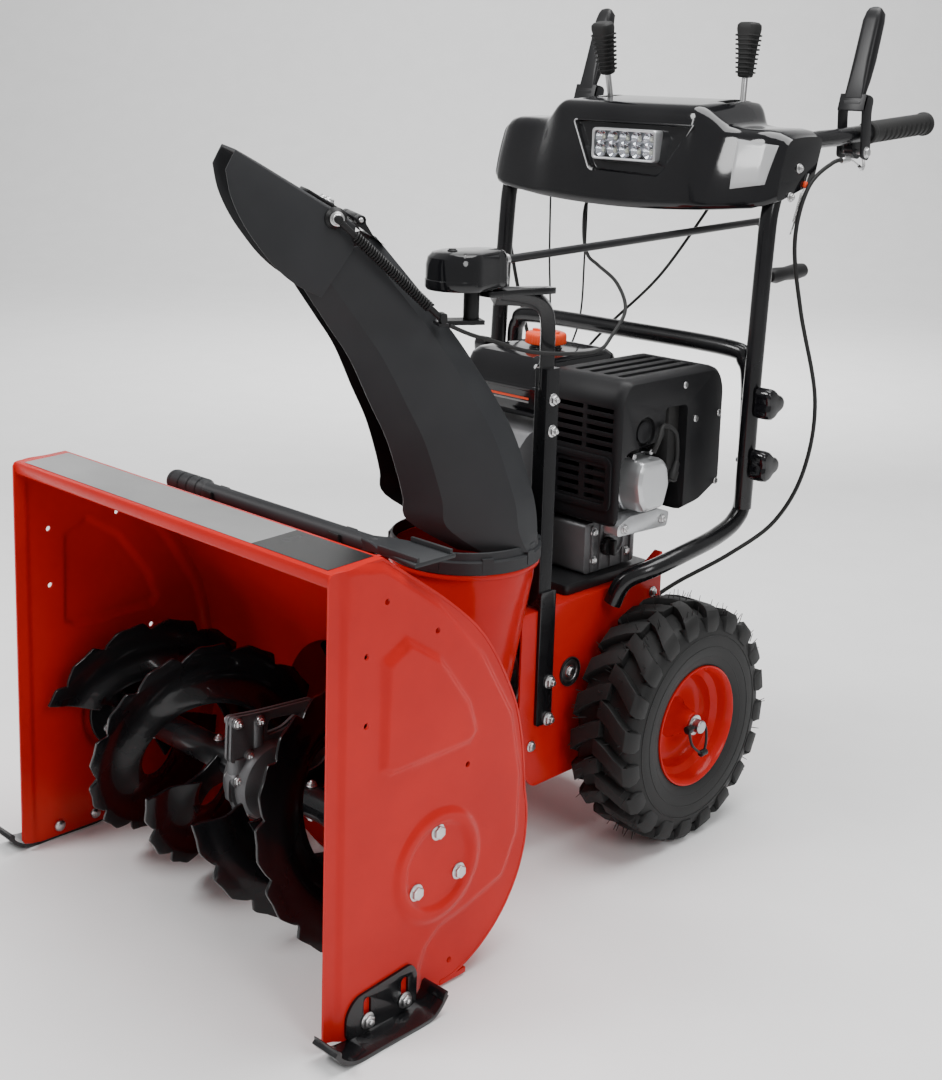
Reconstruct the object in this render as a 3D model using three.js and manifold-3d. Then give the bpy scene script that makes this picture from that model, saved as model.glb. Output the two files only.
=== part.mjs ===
// Two-stage walk-behind snow blower, in millimetres. +X is the left hand of the operator behind it,
// +Y runs from the auger mouth to the handle grips and +Z is up. z = 0 is the ground.
import * as THREE from "three";
import { ConvexGeometry } from "three/addons/geometries/ConvexGeometry.js";
import { mergeVertices } from "three/addons/utils/BufferGeometryUtils.js";
import Module from "manifold-3d";

const wasm = await Module();
wasm.setup();

// ---- driving dimensions ----
const GAP = 0.35;
const RUNNING = 0.8;
const SHEET = 3;
// auger housing
const HALF_WIDTH = 307;
const AUGER_Y = 163;
const AUGER_Z = 161;
const HOUSING_R = 157;
const SHELF_Z = 534;
const SHELF_END = [76, 537];
const SHOE_FRONT_Y = -16;
const SHOE_BACK_Y = 150;
const SHOE_HALF_WIDTH = 345;
const SHOE_BOLTS_Y = [57, 113];
const SHOE_BOLT_Z = 18;
const SHOE_TRAVEL = 22;
const TOE_ANGLE = -Math.PI / 2;
const WRAP_TOE = (-80 * Math.PI) / 180;
const HEEL_ANGLE = (15 * Math.PI) / 180;
const BEARING_BOLTS = [
  [162, 202],
  [197, 142],
  [130, 140],
];
const BEARING_BOLT_R = 4;
const TOOL_Y = 142;
const TOOL_Z = 517;
const TOOL_R = 11;
const CLIP_X = [-70, 165];
// rotors
const SHAFT_R = 12.5;
const TUBE_R = 20;
const FLIGHT_R = 145;
const FLIGHT_INNER_R = 66;
const FLIGHT_START_X = 48;
const FLIGHT_END_X = 280;
const FLIGHT_THICK = 5;
const FLIGHT_TURNS = 0.95;
const DRUM_R = 158;
const DRUM_BACK_Y = 470;
const IMPELLER_R = 147;
const IMPELLER_Y = [334, 458];
const IMPELLER_SHAFT_R = 9.5;
// chute
const CHUTE_X = 120;
const CHUTE_Y = 388;
const CHUTE_YAW = 30;
const NECK_R = 90;
const RING_Z = [436.4, 464];
const RING_R = 98;
const CHUTE_WALL = 4;
const HOOD_HALF = 62;
const HINGE_S = 150;
const HINGE_Z = 862;
const HINGE_BARREL_R = 6;
const HINGE_PIN_R = 3;
const SPRING_W = 74;
const DEFLECTOR_CABLE_R = 2.6;
const GEAR_HEAD_Z = [775, 823];
const CRANK_FRONT_Y = 410;
const CRANK_Z = 805;
const CRANK_REAR = [1000, 829];
const CRANK_ROD_R = 5.5;
// tractor body, wheels and drive
const BODY_HALF = 165;
const BODY_Y = [455, 750];
const BODY_Z = [100, 347];
const PLATE_Y = 545;
const AXLE_Y = 692;
const AXLE_Z = 165;
const AXLE_R = 9.5;
const TYRE_R = 165;
const TYRE_X = [183, 288];
const RIM_R = 84;
const FRICTION_Z = 200;
const FRICTION_SHAFT_Y = 627;
const AXLE_GEAR_R = 52;
const PINION_R = 21.2;
// engine
const CRANK_X = -25;
const CRANKSHAFT_Z = 453;
const ENGINE_PULLEY_R = 30;
const IMPELLER_PULLEY_R = 74;
const BELT_Y = [525, 535];
const COVER_X = [60, 195];
const CAP_X = -20;
const CAP_Y = 692;
const RECOIL_X = -50;
const RECOIL_Z = 517;
const RECOIL_HANDLE_Y = 822;
const CHOKE_X = 132.35;
const CHOKE_Y = 650;
const CHOKE_Z = 398;
// handles
const HANDLE_R = 12.5;
const UPRIGHT_X = 243;
const LOOP_X = 225;
const GRIP_R = 16.5;
const GRIP_END_Y = 1250;
const LEVER_PIVOT = [1045, 940];
const LEVER_TIP = [1103, 1141];
const DRIVE_CABLE_R = 3;
const DASH_HALF = 262;
const DASH_MIDDLE_HALF = 130;
const DASH_WALL = 4;
const LAMP_X = [-45, 72];
const LAMP_Z = [917, 963];
const SHIFT_PIVOT = [941, 897];
const SHIFT_X = { deflector: -100, speed: 120 };
const KNOB_Z = { upper: 597, lower: 509 };
const KNOB_STUD_R = 4;
const LENGTH_MIDDLE = (SHOE_FRONT_Y + GRIP_END_Y) / 2;

// ---- colours ----
const RED = { color: 0xd8261a, roughness: 0.3, metalness: 0 };
const BLACK_PAINT = { color: 0x111214, roughness: 0.3, metalness: 0 };
const BLACK_PLASTIC = { color: 0x26282a, roughness: 0.6, metalness: 0 };
const CHARCOAL = { color: 0x2b2e31, roughness: 0.55, metalness: 0 };
const RUBBER = { color: 0x1b1b1b, roughness: 0.9, metalness: 0 };
const CAST = { color: 0x55575a, roughness: 0.6, metalness: 0.6 };
const STEEL = { color: 0xb8babd, roughness: 0.35, metalness: 1 };
const ORANGE = { color: 0xf0401f, roughness: 0.4, metalness: 0 };
const CLEAR = { color: 0xe9ecee, roughness: 0.15, metalness: 0 };

const machine = new THREE.Group();
machine.position.y = -LENGTH_MIDDLE;
const part = new THREE.Group();
part.add(machine);

// ---- solids: every shape is held as a manifold ----
function solid(geometry) {
  const flat = geometry.index ? geometry.toNonIndexed() : geometry.clone();
  flat.deleteAttribute("normal");
  flat.deleteAttribute("uv");
  const merged = mergeVertices(flat, 1e-3);
  const vertProperties = merged.attributes.position.array;
  const made = makeSolid(vertProperties, new Uint32Array(merged.index.array));
  if (made.volume() > 0) return made;
  const turned = new Uint32Array(merged.index.array);
  for (let i = 0; i < turned.length; i += 3) {
    [turned[i + 1], turned[i + 2]] = [turned[i + 2], turned[i + 1]];
  }
  return makeSolid(vertProperties, turned);
}

function makeSolid(vertProperties, triVerts) {
  return new wasm.Manifold(new wasm.Mesh({ numProp: 3, vertProperties, triVerts }));
}

function join(...solids) {
  return solids.reduce((whole, piece) => whole.add(piece));
}

function cut(whole, ...tools) {
  return tools.reduce((rest, tool) => rest.subtract(tool), whole);
}

function moved(shape, x, y, z) {
  return shape.translate([x, y, z]);
}

function mirrored(shape) {
  return shape.mirror([1, 0, 0]);
}

function add(name, shape, look) {
  const mesh = shape.getMesh();
  const geometry = new THREE.BufferGeometry();
  geometry.setAttribute("position", new THREE.BufferAttribute(mesh.vertProperties, 3));
  geometry.setIndex(new THREE.BufferAttribute(mesh.triVerts, 1));
  geometry.computeVertexNormals();
  const node = new THREE.Mesh(geometry, new THREE.MeshStandardMaterial(look));
  node.name = name;
  machine.add(node);
}

// ---- basic shapes ----
const AXIS_FRAMES = {
  x: [new THREE.Vector3(0, 1, 0), new THREE.Vector3(0, 0, 1), new THREE.Vector3(1, 0, 0)],
  y: [new THREE.Vector3(0, 0, 1), new THREE.Vector3(1, 0, 0), new THREE.Vector3(0, 1, 0)],
  z: [new THREE.Vector3(1, 0, 0), new THREE.Vector3(0, 1, 0), new THREE.Vector3(0, 0, 1)],
};

function box(x, y, z) {
  const geometry = new THREE.BoxGeometry(x[1] - x[0], y[1] - y[0], z[1] - z[0]);
  geometry.translate((x[0] + x[1]) / 2, (y[0] + y[1]) / 2, (z[0] + z[1]) / 2);
  return solid(geometry);
}

// A closed outline pushed along an axis from low to high. Outline pairs are (y, z) along x,
// (z, x) along y and (x, y) along z.
function prism(axis, outline, low, high) {
  const shape = outline instanceof THREE.Shape ? outline : new THREE.Shape(vectors(outline));
  const options = { depth: high - low, bevelEnabled: false, curveSegments: 14 };
  const geometry = new THREE.ExtrudeGeometry(shape, options);
  geometry.translate(0, 0, low);
  geometry.applyMatrix4(new THREE.Matrix4().makeBasis(...AXIS_FRAMES[axis]));
  return solid(geometry);
}

function vectors(pairs) {
  return pairs.map(([a, b]) => new THREE.Vector2(a, b));
}

// A round bar along an axis. The centre pair is in the same order as a prism's outline.
function rod(axis, centre, low, high, radius, sides = sidesFor(radius)) {
  const geometry = new THREE.CylinderGeometry(radius, radius, high - low, sides);
  geometry.rotateX(Math.PI / 2);
  geometry.translate(centre[0], centre[1], (low + high) / 2);
  geometry.applyMatrix4(new THREE.Matrix4().makeBasis(...AXIS_FRAMES[axis]));
  return solid(geometry);
}

function sidesFor(radius) {
  if (radius < 6) return 8;
  if (radius < 15) return 10;
  if (radius < 30) return 12;
  return radius < 70 ? 16 : 24;
}

// A solid of revolution about an axis: the profile is (radius, place along the axis).
function turned(axis, centre, profile, sides = 32) {
  const geometry = new THREE.LatheGeometry(vectors(profile), sides);
  geometry.rotateX(Math.PI / 2);
  geometry.translate(centre[0], centre[1], 0);
  geometry.applyMatrix4(new THREE.Matrix4().makeBasis(...AXIS_FRAMES[axis]));
  return solid(geometry);
}

function boxCorners(x, y, z) {
  return x.flatMap((a) => y.flatMap((b) => z.map((c) => [a, b, c])));
}

function hull(points) {
  return solid(new ConvexGeometry(points.map((p) => new THREE.Vector3(...p))));
}

function circlePoints(centre, radius, z, sides = 16) {
  return Array.from({ length: sides }, (_, i) => {
    const angle = (2 * Math.PI * i) / sides;
    return [centre[0] + radius * Math.cos(angle), centre[1] + radius * Math.sin(angle), z];
  });
}

// A round bar along a smooth curve through the points.
function tube(points, radius, steps, sides = 10, tension = 0.35) {
  const places = points.map((p) => new THREE.Vector3(...p));
  const path = new THREE.CatmullRomCurve3(places, false, "catmullrom", tension);
  const section = new THREE.Shape(
    vectors(circlePoints([0, 0], radius, 0, sides).map((p) => p.slice(0, 2))),
  );
  return solid(new THREE.ExtrudeGeometry(section, { steps, extrudePath: path }));
}

// A plate between two grids of points with the same rows and columns.
function plate(outer, inner) {
  const rows = outer.length;
  const columns = outer[0].length;
  const positions = [...outer.flat(), ...inner.flat()].flat();
  const at = (side, i, j) => side * rows * columns + i * columns + j;
  const triangles = [];
  const quad = (a, b, c, d) => triangles.push(a, b, c, a, c, d);
  for (let i = 0; i + 1 < rows; i++) {
    for (let j = 0; j + 1 < columns; j++) {
      quad(at(0, i, j), at(0, i, j + 1), at(0, i + 1, j + 1), at(0, i + 1, j));
      quad(at(1, i, j), at(1, i + 1, j), at(1, i + 1, j + 1), at(1, i, j + 1));
    }
    const last = columns - 1;
    quad(at(0, i, 0), at(0, i + 1, 0), at(1, i + 1, 0), at(1, i, 0));
    quad(at(0, i, last), at(1, i, last), at(1, i + 1, last), at(0, i + 1, last));
  }
  for (let j = 0; j + 1 < columns; j++) {
    const last = rows - 1;
    quad(at(0, 0, j), at(1, 0, j), at(1, 0, j + 1), at(0, 0, j + 1));
    quad(at(0, last, j), at(0, last, j + 1), at(1, last, j + 1), at(1, last, j));
  }
  const geometry = new THREE.BufferGeometry();
  geometry.setAttribute("position", new THREE.Float32BufferAttribute(positions, 3));
  geometry.setIndex(triangles);
  return solid(geometry);
}

// An open outline moved sideways by a distance, with mitred corners.
function offset(points, distance) {
  return points.map((p, i) => {
    const before = points[Math.max(i - 1, 0)];
    const after = points[Math.min(i + 1, points.length - 1)];
    const n1 = normalOf(before, i ? p : after);
    const n2 = normalOf(i < points.length - 1 ? p : before, after);
    const n = [n1[0] + n2[0], n1[1] + n2[1]];
    const scale = (2 * distance) / (n[0] * n[0] + n[1] * n[1]);
    return [p[0] + n[0] * scale, p[1] + n[1] * scale];
  });
}

function normalOf(a, b) {
  const length = Math.hypot(b[0] - a[0], b[1] - a[1]);
  return [(b[1] - a[1]) / length, (a[0] - b[0]) / length];
}

// ---- auger housing ----
const BACK_CURVE = [
  [306, 270],
  [287, 331],
  [238, 411],
  [174, 469],
];

function backCurve(fromAngle, steps) {
  const arc = Array.from({ length: steps + 1 }, (_, i) => {
    const angle = fromAngle + ((HEEL_ANGLE - fromAngle) * i) / steps;
    return [AUGER_Y + HOUSING_R * Math.cos(angle), AUGER_Z + HOUSING_R * Math.sin(angle)];
  });
  const spline = new THREE.SplineCurve(vectors([arc[steps], ...BACK_CURVE, SHELF_END]));
  const upper = spline.getPoints(10).slice(1);
  return [...arc, ...upper.map((v) => [v.x, v.y])];
}

function sideOutline() {
  return [[0, 14], [28, 4], ...backCurve(TOE_ANGLE, 8), [0, SHELF_Z]];
}


function sidePanel() {
  const inner = HALF_WIDTH - SHEET;
  const drill = (centre, radius) => rod("x", centre, inner - 1, HALF_WIDTH + 1, radius);
  const shoeBolts = SHOE_BOLTS_Y.map((y) =>
    join(
      rod("x", [y, SHOE_BOLT_Z], inner, HALF_WIDTH + 12, 4.6),
      rod("x", [y, SHOE_BOLT_Z], HALF_WIDTH + 5.8, HALF_WIDTH + 12, 9, 6),
    ),
  );
  const blank = prism("x", sideOutline(), inner, HALF_WIDTH);
  const bearingHoles = BEARING_BOLTS.map((c) => drill(c, BEARING_BOLT_R + GAP));
  return join(cut(blank, ...bearingHoles), ...shoeBolts);
}

function toolClip(x) {
  const block = box([x - 9, x + 9], [TOOL_Y - 17, TOOL_Y + 17], [482, TOOL_Z + 8]);
  const seat = rod("x", [TOOL_Y, TOOL_Z], x - 10, x + 10, TOOL_R + 0.6);
  const throat = box([x - 10, x + 10], [TOOL_Y - 11.6, TOOL_Y + 11.6], [TOOL_Z, TOOL_Z + 20]);
  return cut(block, seat, throat);
}

function housingWrap() {
  const outer = [[2, SHELF_Z - 14], [2, SHELF_Z], ...backCurve(WRAP_TOE, 8).reverse()];
  const inner = offset(outer, SHEET);
  const half = HALF_WIDTH - SHEET - GAP;
  const sheet = prism("x", [...outer, ...inner.reverse()], -half, half);
  const drumMouth = rod("y", [AUGER_Z, 0], 180, 340, DRUM_R - 16);
  const scraper = box([-half, half], [176, 222], [3, 10]);
  const clips = CLIP_X.map((x) => toolClip(x));
  return cut(join(sheet, scraper, ...clips), drumMouth);
}

function drumAndOutlet() {
  const neckTop = RING_Z[0] + 14;
  const oval = (grow) => [
    ...circlePoints([66, 393], 72 + grow, AUGER_Z, 12),
    ...circlePoints([86, 393], 72 + grow, AUGER_Z, 12),
  ];
  const neck = (grow) =>
    join(
      hull([...oval(grow), ...circlePoints([CHUTE_X, CHUTE_Y], NECK_R + grow, 415)]),
      rod("z", [CHUTE_X, CHUTE_Y], 414, neckTop - grow, NECK_R + grow),
    );
  const flange = rod("z", [CHUTE_X, CHUTE_Y], 428, RING_Z[0] - GAP, 96);
  const can = rod("y", [AUGER_Z, 0], 225, DRUM_BACK_Y, DRUM_R);
  const hollow = rod("y", [AUGER_Z, 0], 200, DRUM_BACK_Y - SHEET, DRUM_R - SHEET);
  const shaftHole = rod("y", [AUGER_Z, 0], 440, 480, IMPELLER_SHAFT_R + 1);
  const housingRoom = prism("x", offsetOutline(GAP), -HALF_WIDTH, HALF_WIDTH);
  const shell = cut(join(can, neck(0), flange), hollow, neck(-SHEET), shaftHole, housingRoom);
  return cut(shell, rod("z", [CHUTE_X, CHUTE_Y], 400, 480, NECK_R - SHEET));
}

// The housing's back edge moved outward, closed in front of the drum.
function offsetOutline(distance) {
  const edge = offset(backCurve(WRAP_TOE, 8), distance);
  return [[0, -20], [edge[0][0], -20], ...edge, [0, 600]];
}

function augerBearing() {
  const inside = HALF_WIDTH - SHEET - GAP;
  const cup = rod("x", [AUGER_Y, AUGER_Z], inside - 20, inside, 24);
  const plateRound = rod("x", [AUGER_Y, AUGER_Z], inside - 4, inside, 58);
  const bore = rod("x", [AUGER_Y, AUGER_Z], inside - 21, inside - 6, SHAFT_R + RUNNING);
  const bolts = BEARING_BOLTS.flatMap((c) => [
    rod("x", c, inside - 1, HALF_WIDTH + 1, BEARING_BOLT_R, 6),
    rod("x", c, HALF_WIDTH + GAP, HALF_WIDTH + 7, 8, 6),
  ]);
  return join(cut(join(cup, plateRound), bore), ...bolts);
}

function skidShoe() {
  const near = HALF_WIDTH + GAP;
  const upright = box([near, near + 5], [27, 132], [3, 57]);
  const slots = SHOE_BOLTS_Y.map((y) =>
    hull([
      ...slotEnd(y, SHOE_BOLT_Z - GAP, near),
      ...slotEnd(y, SHOE_BOLT_Z + SHOE_TRAVEL + GAP, near),
    ]),
  );
  const sole = [
    [SHOE_FRONT_Y, 26],
    [-2, 10],
    [16, 0],
    [118, 0],
    [136, 9],
    [SHOE_BACK_Y, 22],
    [147, 26],
    [133, 14],
    [116, 5],
    [18, 5],
    [2, 14],
    [-11, 28],
  ];
  const runner = prism("x", sole, near, SHOE_HALF_WIDTH);
  return join(cut(upright, ...slots), runner);
}

function slotEnd(y, z, x) {
  return circlePoints([y, z], 5.2, 0, 12).flatMap(([a, b]) => [
    [x - 1, a, b],
    [x + 6, a, b],
  ]);
}

// ---- augers and impeller ----
function ribbon(phase) {
  const steps = 18;
  const outer = [];
  const inner = [];
  for (let i = 0; i <= steps; i++) {
    const t = i / steps;
    const angle = phase + FLIGHT_TURNS * 2 * Math.PI * t;
    const tip = FLIGHT_R - 13 * ((i % 3) / 3);
    const x = FLIGHT_START_X + (FLIGHT_END_X - FLIGHT_START_X) * t;
    const at = (radius, shift) => [
      x + shift,
      AUGER_Y + radius * Math.cos(angle),
      AUGER_Z + radius * Math.sin(angle),
    ];
    outer.push([at(FLIGHT_INNER_R, -FLIGHT_THICK / 2), at(tip, -FLIGHT_THICK / 2)]);
    inner.push([at(FLIGHT_INNER_R, FLIGHT_THICK / 2), at(tip, FLIGHT_THICK / 2)]);
  }
  return plate(outer, inner);
}

// A flat arm from the auger tube out to a ribbon.
function flightArm(x, angle) {
  const arm = box([x - 3, x + 3], [-17, 17], [10, FLIGHT_INNER_R + 8]);
  return moved(arm.rotate([(angle * 180) / Math.PI - 90, 0, 0]), 0, AUGER_Y, AUGER_Z);
}

function auger() {
  const pipe = rod("x", [AUGER_Y, AUGER_Z], FLIGHT_START_X - 4, FLIGHT_END_X + 2, TUBE_R);
  const flights = [0, Math.PI].map((phase) => ribbon(phase));
  const arms = [0.08, 0.92].flatMap((t) =>
    [0, Math.PI].map((phase) => {
      const x = FLIGHT_START_X + (FLIGHT_END_X - FLIGHT_START_X) * t;
      return flightArm(x, phase + FLIGHT_TURNS * 2 * Math.PI * t);
    }),
  );
  const bore = rod("x", [AUGER_Y, AUGER_Z], 0, 300, SHAFT_R + RUNNING);
  return cut(join(pipe, ...flights, ...arms), bore);
}

function gearcase() {
  const drum = rod("x", [AUGER_Y, AUGER_Z], -34, 34, 50);
  const snout = rod("y", [AUGER_Z, 0], AUGER_Y, 300, 25);
  const hubs = rod("x", [AUGER_Y, AUGER_Z], -42, 42, 26);
  const flange = box([-4, 4], [AUGER_Y - 60, AUGER_Y + 56], [AUGER_Z - 16, AUGER_Z + 16]);
  const shaftBore = rod("x", [AUGER_Y, AUGER_Z], -50, 50, SHAFT_R + RUNNING);
  const wormBore = rod("y", [AUGER_Z, 0], 226, 310, IMPELLER_SHAFT_R + RUNNING);
  const brace = prism("x", [[106, 196], [180, 196], [208, 206], [244, 226], [244, 244], [158, 250], [108, 256]], -6, 6);
  return cut(join(drum, snout, hubs, flange, brace), shaftBore, wormBore);
}

function impeller() {
  const hub = rod("y", [AUGER_Z, 0], IMPELLER_Y[0], IMPELLER_Y[1], 23);
  const blades = [0, 1, 2, 3].map((i) => {
    const y = [IMPELLER_Y[0] + 6, IMPELLER_Y[1] - 6];
    const blade = box([-3, 3], y, [15, IMPELLER_R]);
    const tip = box([-3, 22], y, [IMPELLER_R - 24, IMPELLER_R - 18]);
    return moved(join(blade, tip).rotate([0, 45 + 90 * i, 0]), 0, 0, AUGER_Z);
  });
  const bore = rod("y", [AUGER_Z, 0], 300, 480, IMPELLER_SHAFT_R + RUNNING);
  return cut(join(hub, ...blades), bore);
}

function impellerShaft() {
  const shaft = rod("y", [AUGER_Z, 0], 227, 541, IMPELLER_SHAFT_R);
  const pulley = rod("y", [AUGER_Z, 0], BELT_Y[0] - 1, BELT_Y[1] + 1, IMPELLER_PULLEY_R);
  return join(shaft, pulley);
}

// ---- chute, deflector and their control ----
// Chute points are (s, w, z): s along the throw, w to the machine's +X side, z up.
function chutePoint(s, w, z) {
  const yaw = (CHUTE_YAW * Math.PI) / 180;
  return [
    CHUTE_X - s * Math.sin(yaw) + w * Math.cos(yaw),
    CHUTE_Y - s * Math.cos(yaw) - w * Math.sin(yaw),
    z,
  ];
}

function inChuteFrame(shape) {
  return moved(shape.rotate([0, 0, -CHUTE_YAW - 90]), CHUTE_X, CHUTE_Y, 0);
}

// Back point, front point (s, z) and half width of the chute at each height.
const CHUTE_ROWS = [
  [[-80, 456], [26, 460], 78],
  [[-80, 480], [90, 500], 81],
  [[-75, 515], [97, 530], 81],
  [[-64, 550], [104, 558], 79],
  [[-46, 600], [118, 602], 76],
  [[-22, 645], [138, 645], 70],
  [[14, 700], [162, 698], 62],
  [[38, 733], [186, 735], 57],
  [[84, 788], [208, 768], 57],
  [[130, 842], [232, 805], 57],
];
const CHUTE_SECTION = [
  [1, -0.86],
  [0.74, -1],
  [0.2, -1],
  [0, -0.62],
  [0, 0.62],
  [0.2, 1],
  [0.74, 1],
  [1, 0.86],
];

function sectionPoints([back, front, half], grow) {
  const depth = Math.hypot(front[0] - back[0], front[1] - back[1]);
  const flat = CHUTE_SECTION.map(([q, w]) => [q * depth, w * half]);
  const line = grow ? offset(flat, grow) : flat;
  return line.map(([along, w]) => {
    const q = along / depth;
    const s = back[0] + (front[0] - back[0]) * q;
    const z = back[1] + (front[1] - back[1]) * q;
    return chutePoint(s, w, z);
  });
}

function chute() {
  const channel = plate(
    CHUTE_ROWS.map((row) => sectionPoints(row, 0)),
    CHUTE_ROWS.map((row) => sectionPoints(row, CHUTE_WALL)),
  );
  const ring = cut(
    rod("z", [CHUTE_X, CHUTE_Y], RING_Z[0], RING_Z[1], RING_R),
    rod("z", [CHUTE_X, CHUTE_Y], RING_Z[0] - 1, RING_Z[1] + 1, NECK_R + 0.8),
  );
  const neckRoom = rod("z", [CHUTE_X, CHUTE_Y], 440, 451, NECK_R + 0.8);
  const knuckles = [-1, 1].map((side) => {
    const low = Math.min(side * 29, side * 45);
    const leaf = hull(
      [low, low + 16].flatMap((w) => [
        [120, w, 832],
        [134, w, 836],
        [HINGE_S - 6, w, HINGE_Z],
        [HINGE_S - 4, w, HINGE_Z + 5],
        [HINGE_S + 4, w, HINGE_Z - 5],
      ]),
    );
    return join(leaf, hingeRod(low, low + 16, HINGE_BARREL_R));
  });
  const pin = hingeRod(-46, 46, HINGE_PIN_R);
  const topArm = box([-14, 52], [-14, 14], [731, 737]);
  const stub = rod("z", [0, 0], 732, GEAR_HEAD_Z[0] - GAP, 10);
  const clamp = box([50, 62], [50, 82], [738, 760]);
  const fittings = inChuteFrame(join(...knuckles, pin, topArm, stub, clamp));
  return join(cut(channel, neckRoom), ring, fittings);
}

// A bar on the deflector's hinge line.
function hingeRod(low, high, radius) {
  return rod("y", [HINGE_Z, HINGE_S], low, high, radius);
}

// Top point and lower point (s, z) of the deflector at each station.
const HOOD_ROWS = [
  [[160, 858], [163, 829]],
  [[176, 871], [199, 774]],
  [[205, 888], [229, 789]],
  [[230, 903], [252, 808]],
  [[252, 916], [271, 831]],
  [[274, 929], [290, 859]],
  [[290, 938], [304, 890]],
  [[299, 943], [310, 920]],
];
const HOOD_SECTION = [
  [1, -1],
  [0.5, -1],
  [0.04, -1],
  [0, -0.93],
  [0, 0.93],
  [0.04, 1],
  [0.5, 1],
  [1, 1],
];

function hoodSection([top, low], inset) {
  return HOOD_SECTION.map(([q, side]) => {
    const w = side * HOOD_HALF - Math.sign(side) * inset;
    const s = top[0] + (low[0] - top[0]) * q;
    const z = top[1] + (low[1] - top[1]) * q - (q < 0.2 ? inset : 0);
    return chutePoint(s, w, z);
  });
}

function deflector() {
  const shell = plate(
    HOOD_ROWS.map((row) => hoodSection(row, 0)),
    HOOD_ROWS.map((row) => hoodSection(row, CHUTE_WALL)),
  );
  const barrel = hingeRod(-28.4, 28.4, HINGE_BARREL_R);
  const leaf = box([HINGE_S + 1, 172], [-28.4, 28.4], [HINGE_Z - 3, HINGE_Z + 3]);
  const bore = hingeRod(-60, 60, HINGE_PIN_R + RUNNING);
  const boss = rod("y", [866, 184], HOOD_HALF - 2, 78, 11);
  return join(shell, inChuteFrame(join(cut(join(barrel, leaf), bore), boss)));
}

function deflectorSpring() {
  const low = chutePoint(71, SPRING_W, 761);
  const high = chutePoint(168, SPRING_W, 852);
  return tube([low, high], 6.5, 1, 12);
}

function gearHead() {
  const outline = [
    ...circlePoints([CHUTE_X, 362], 40, 0, 16),
    ...circlePoints([CHUTE_X, 414], 27, 0, 12),
  ];
  const at = (grow, z) =>
    outline.map(([x, y]) => [
      CHUTE_X + (x - CHUTE_X) * grow,
      CHUTE_Y + (y - CHUTE_Y) * grow,
      z,
    ]);
  const low = GEAR_HEAD_Z[0] + GAP;
  const cap = hull([...at(0.97, low), ...at(1, low + 26), ...at(0.93, GEAR_HEAD_Z[1])]);
  const rodHole = rod("y", [CRANK_Z, CHUTE_X], 405, 460, 8);
  return cut(cap, rodHole);
}

function chutePost() {
  const strap = box([BODY_HALF + GAP, BODY_HALF + 5], [484, 514], [187, 372]);
  const foot = box([141, BODY_HALF + 5], [487, 503], [352, 372]);
  const channel = box([141, BODY_HALF], [487, 503], [352, 665]);
  const neck = tube(
    [
      [153, 495, 655],
      [153, 495, 700],
      [151, 487, 738],
      [142, 462, 757],
      [130, 438, 761],
    ],
    9,
    8,
    8,
  );
  const top = box([96, 146], [398, 452], [764, 772]);
  const stubRoom = rod("z", [CHUTE_X, CHUTE_Y], 750, 780, 11);
  return cut(join(strap, foot, channel, neck, top), stubRoom);
}

// Frame of the crank rod: it climbs slightly towards the rear.
const CRANK_SLOPE = Math.atan2(CRANK_REAR[1] - CRANK_Z, CRANK_REAR[0] - CRANK_FRONT_Y);

function crankRod() {
  const length = (CRANK_REAR[0] - CRANK_FRONT_Y) / Math.cos(CRANK_SLOPE);
  const shaft = rod("y", [0, 0], 0, length, CRANK_ROD_R);
  const throwArm = tube(
    [
      [0, length - 6, 0],
      [0, length + 6, 0],
      [0, length + 22, -16],
      [0, length + 24, -70],
      [0, length + 32, -84],
      [0, length + 48, -88],
    ],
    CRANK_ROD_R,
    12,
    8,
  );
  const handle = rod("y", [-88, 0], length + 44, length + 140, 13);
  const straight = join(shaft, throwArm, handle);
  return moved(
    straight.rotate([(CRANK_SLOPE * 180) / Math.PI, 0, 0]),
    CHUTE_X,
    CRANK_FRONT_Y,
    CRANK_Z,
  );
}

// ---- tractor body, wheels and traction drive ----
function tractorBody() {
  const back = BODY_Y[1];
  const [low, high] = BODY_Z;
  const sides = [-1, 1].map((side) => {
    const x = [side * BODY_HALF, side * (BODY_HALF - SHEET)].sort((a, b) => a - b);
    return box(x, BODY_Y, BODY_Z);
  });
  const across = [-BODY_HALF, BODY_HALF];
  const top = box(across, [PLATE_Y, back], [high - SHEET, high]);
  const bottom = box(across, [PLATE_Y, back], [low, low + SHEET]);
  const rear = box(across, [back - SHEET, back], BODY_Z);
  const axleHole = rod("x", [AXLE_Y, AXLE_Z], -200, 200, AXLE_R + 1);
  const kickOutline = [[680, high - 1], [716, high + 10], [back, high + 30], [back, high - 1]];
  const kick = prism("x", kickOutline, 153, BODY_HALF);
  const neckRoom = rod("z", [CHUTE_X, CHUTE_Y], 300, high + 1, NECK_R + 3);
  return cut(join(...sides, top, bottom, rear, kick), axleHole, neckRoom);
}

function axle() {
  const shaft = rod("x", [AXLE_Y, AXLE_Z], -291, 291, AXLE_R);
  const gear = rod("x", [AXLE_Y, AXLE_Z], 100, 112, AXLE_GEAR_R);
  return join(shaft, gear);
}

function frictionWheel() {
  const centre = [FRICTION_SHAFT_Y, FRICTION_Z];
  const shaft = rod("x", centre, -158, 158, 8, 6);
  const wheel = rod("x", centre, 24, 34, 60);
  const pinion = rod("x", centre, 98, 114, PINION_R);
  return join(shaft, wheel, pinion);
}

function frictionDisc() {
  const disc = rod("y", [FRICTION_Z, 0], 558, 566, 72);
  const hub = rod("y", [FRICTION_Z, 0], 546, 560, 16);
  return join(disc, hub);
}

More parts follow.
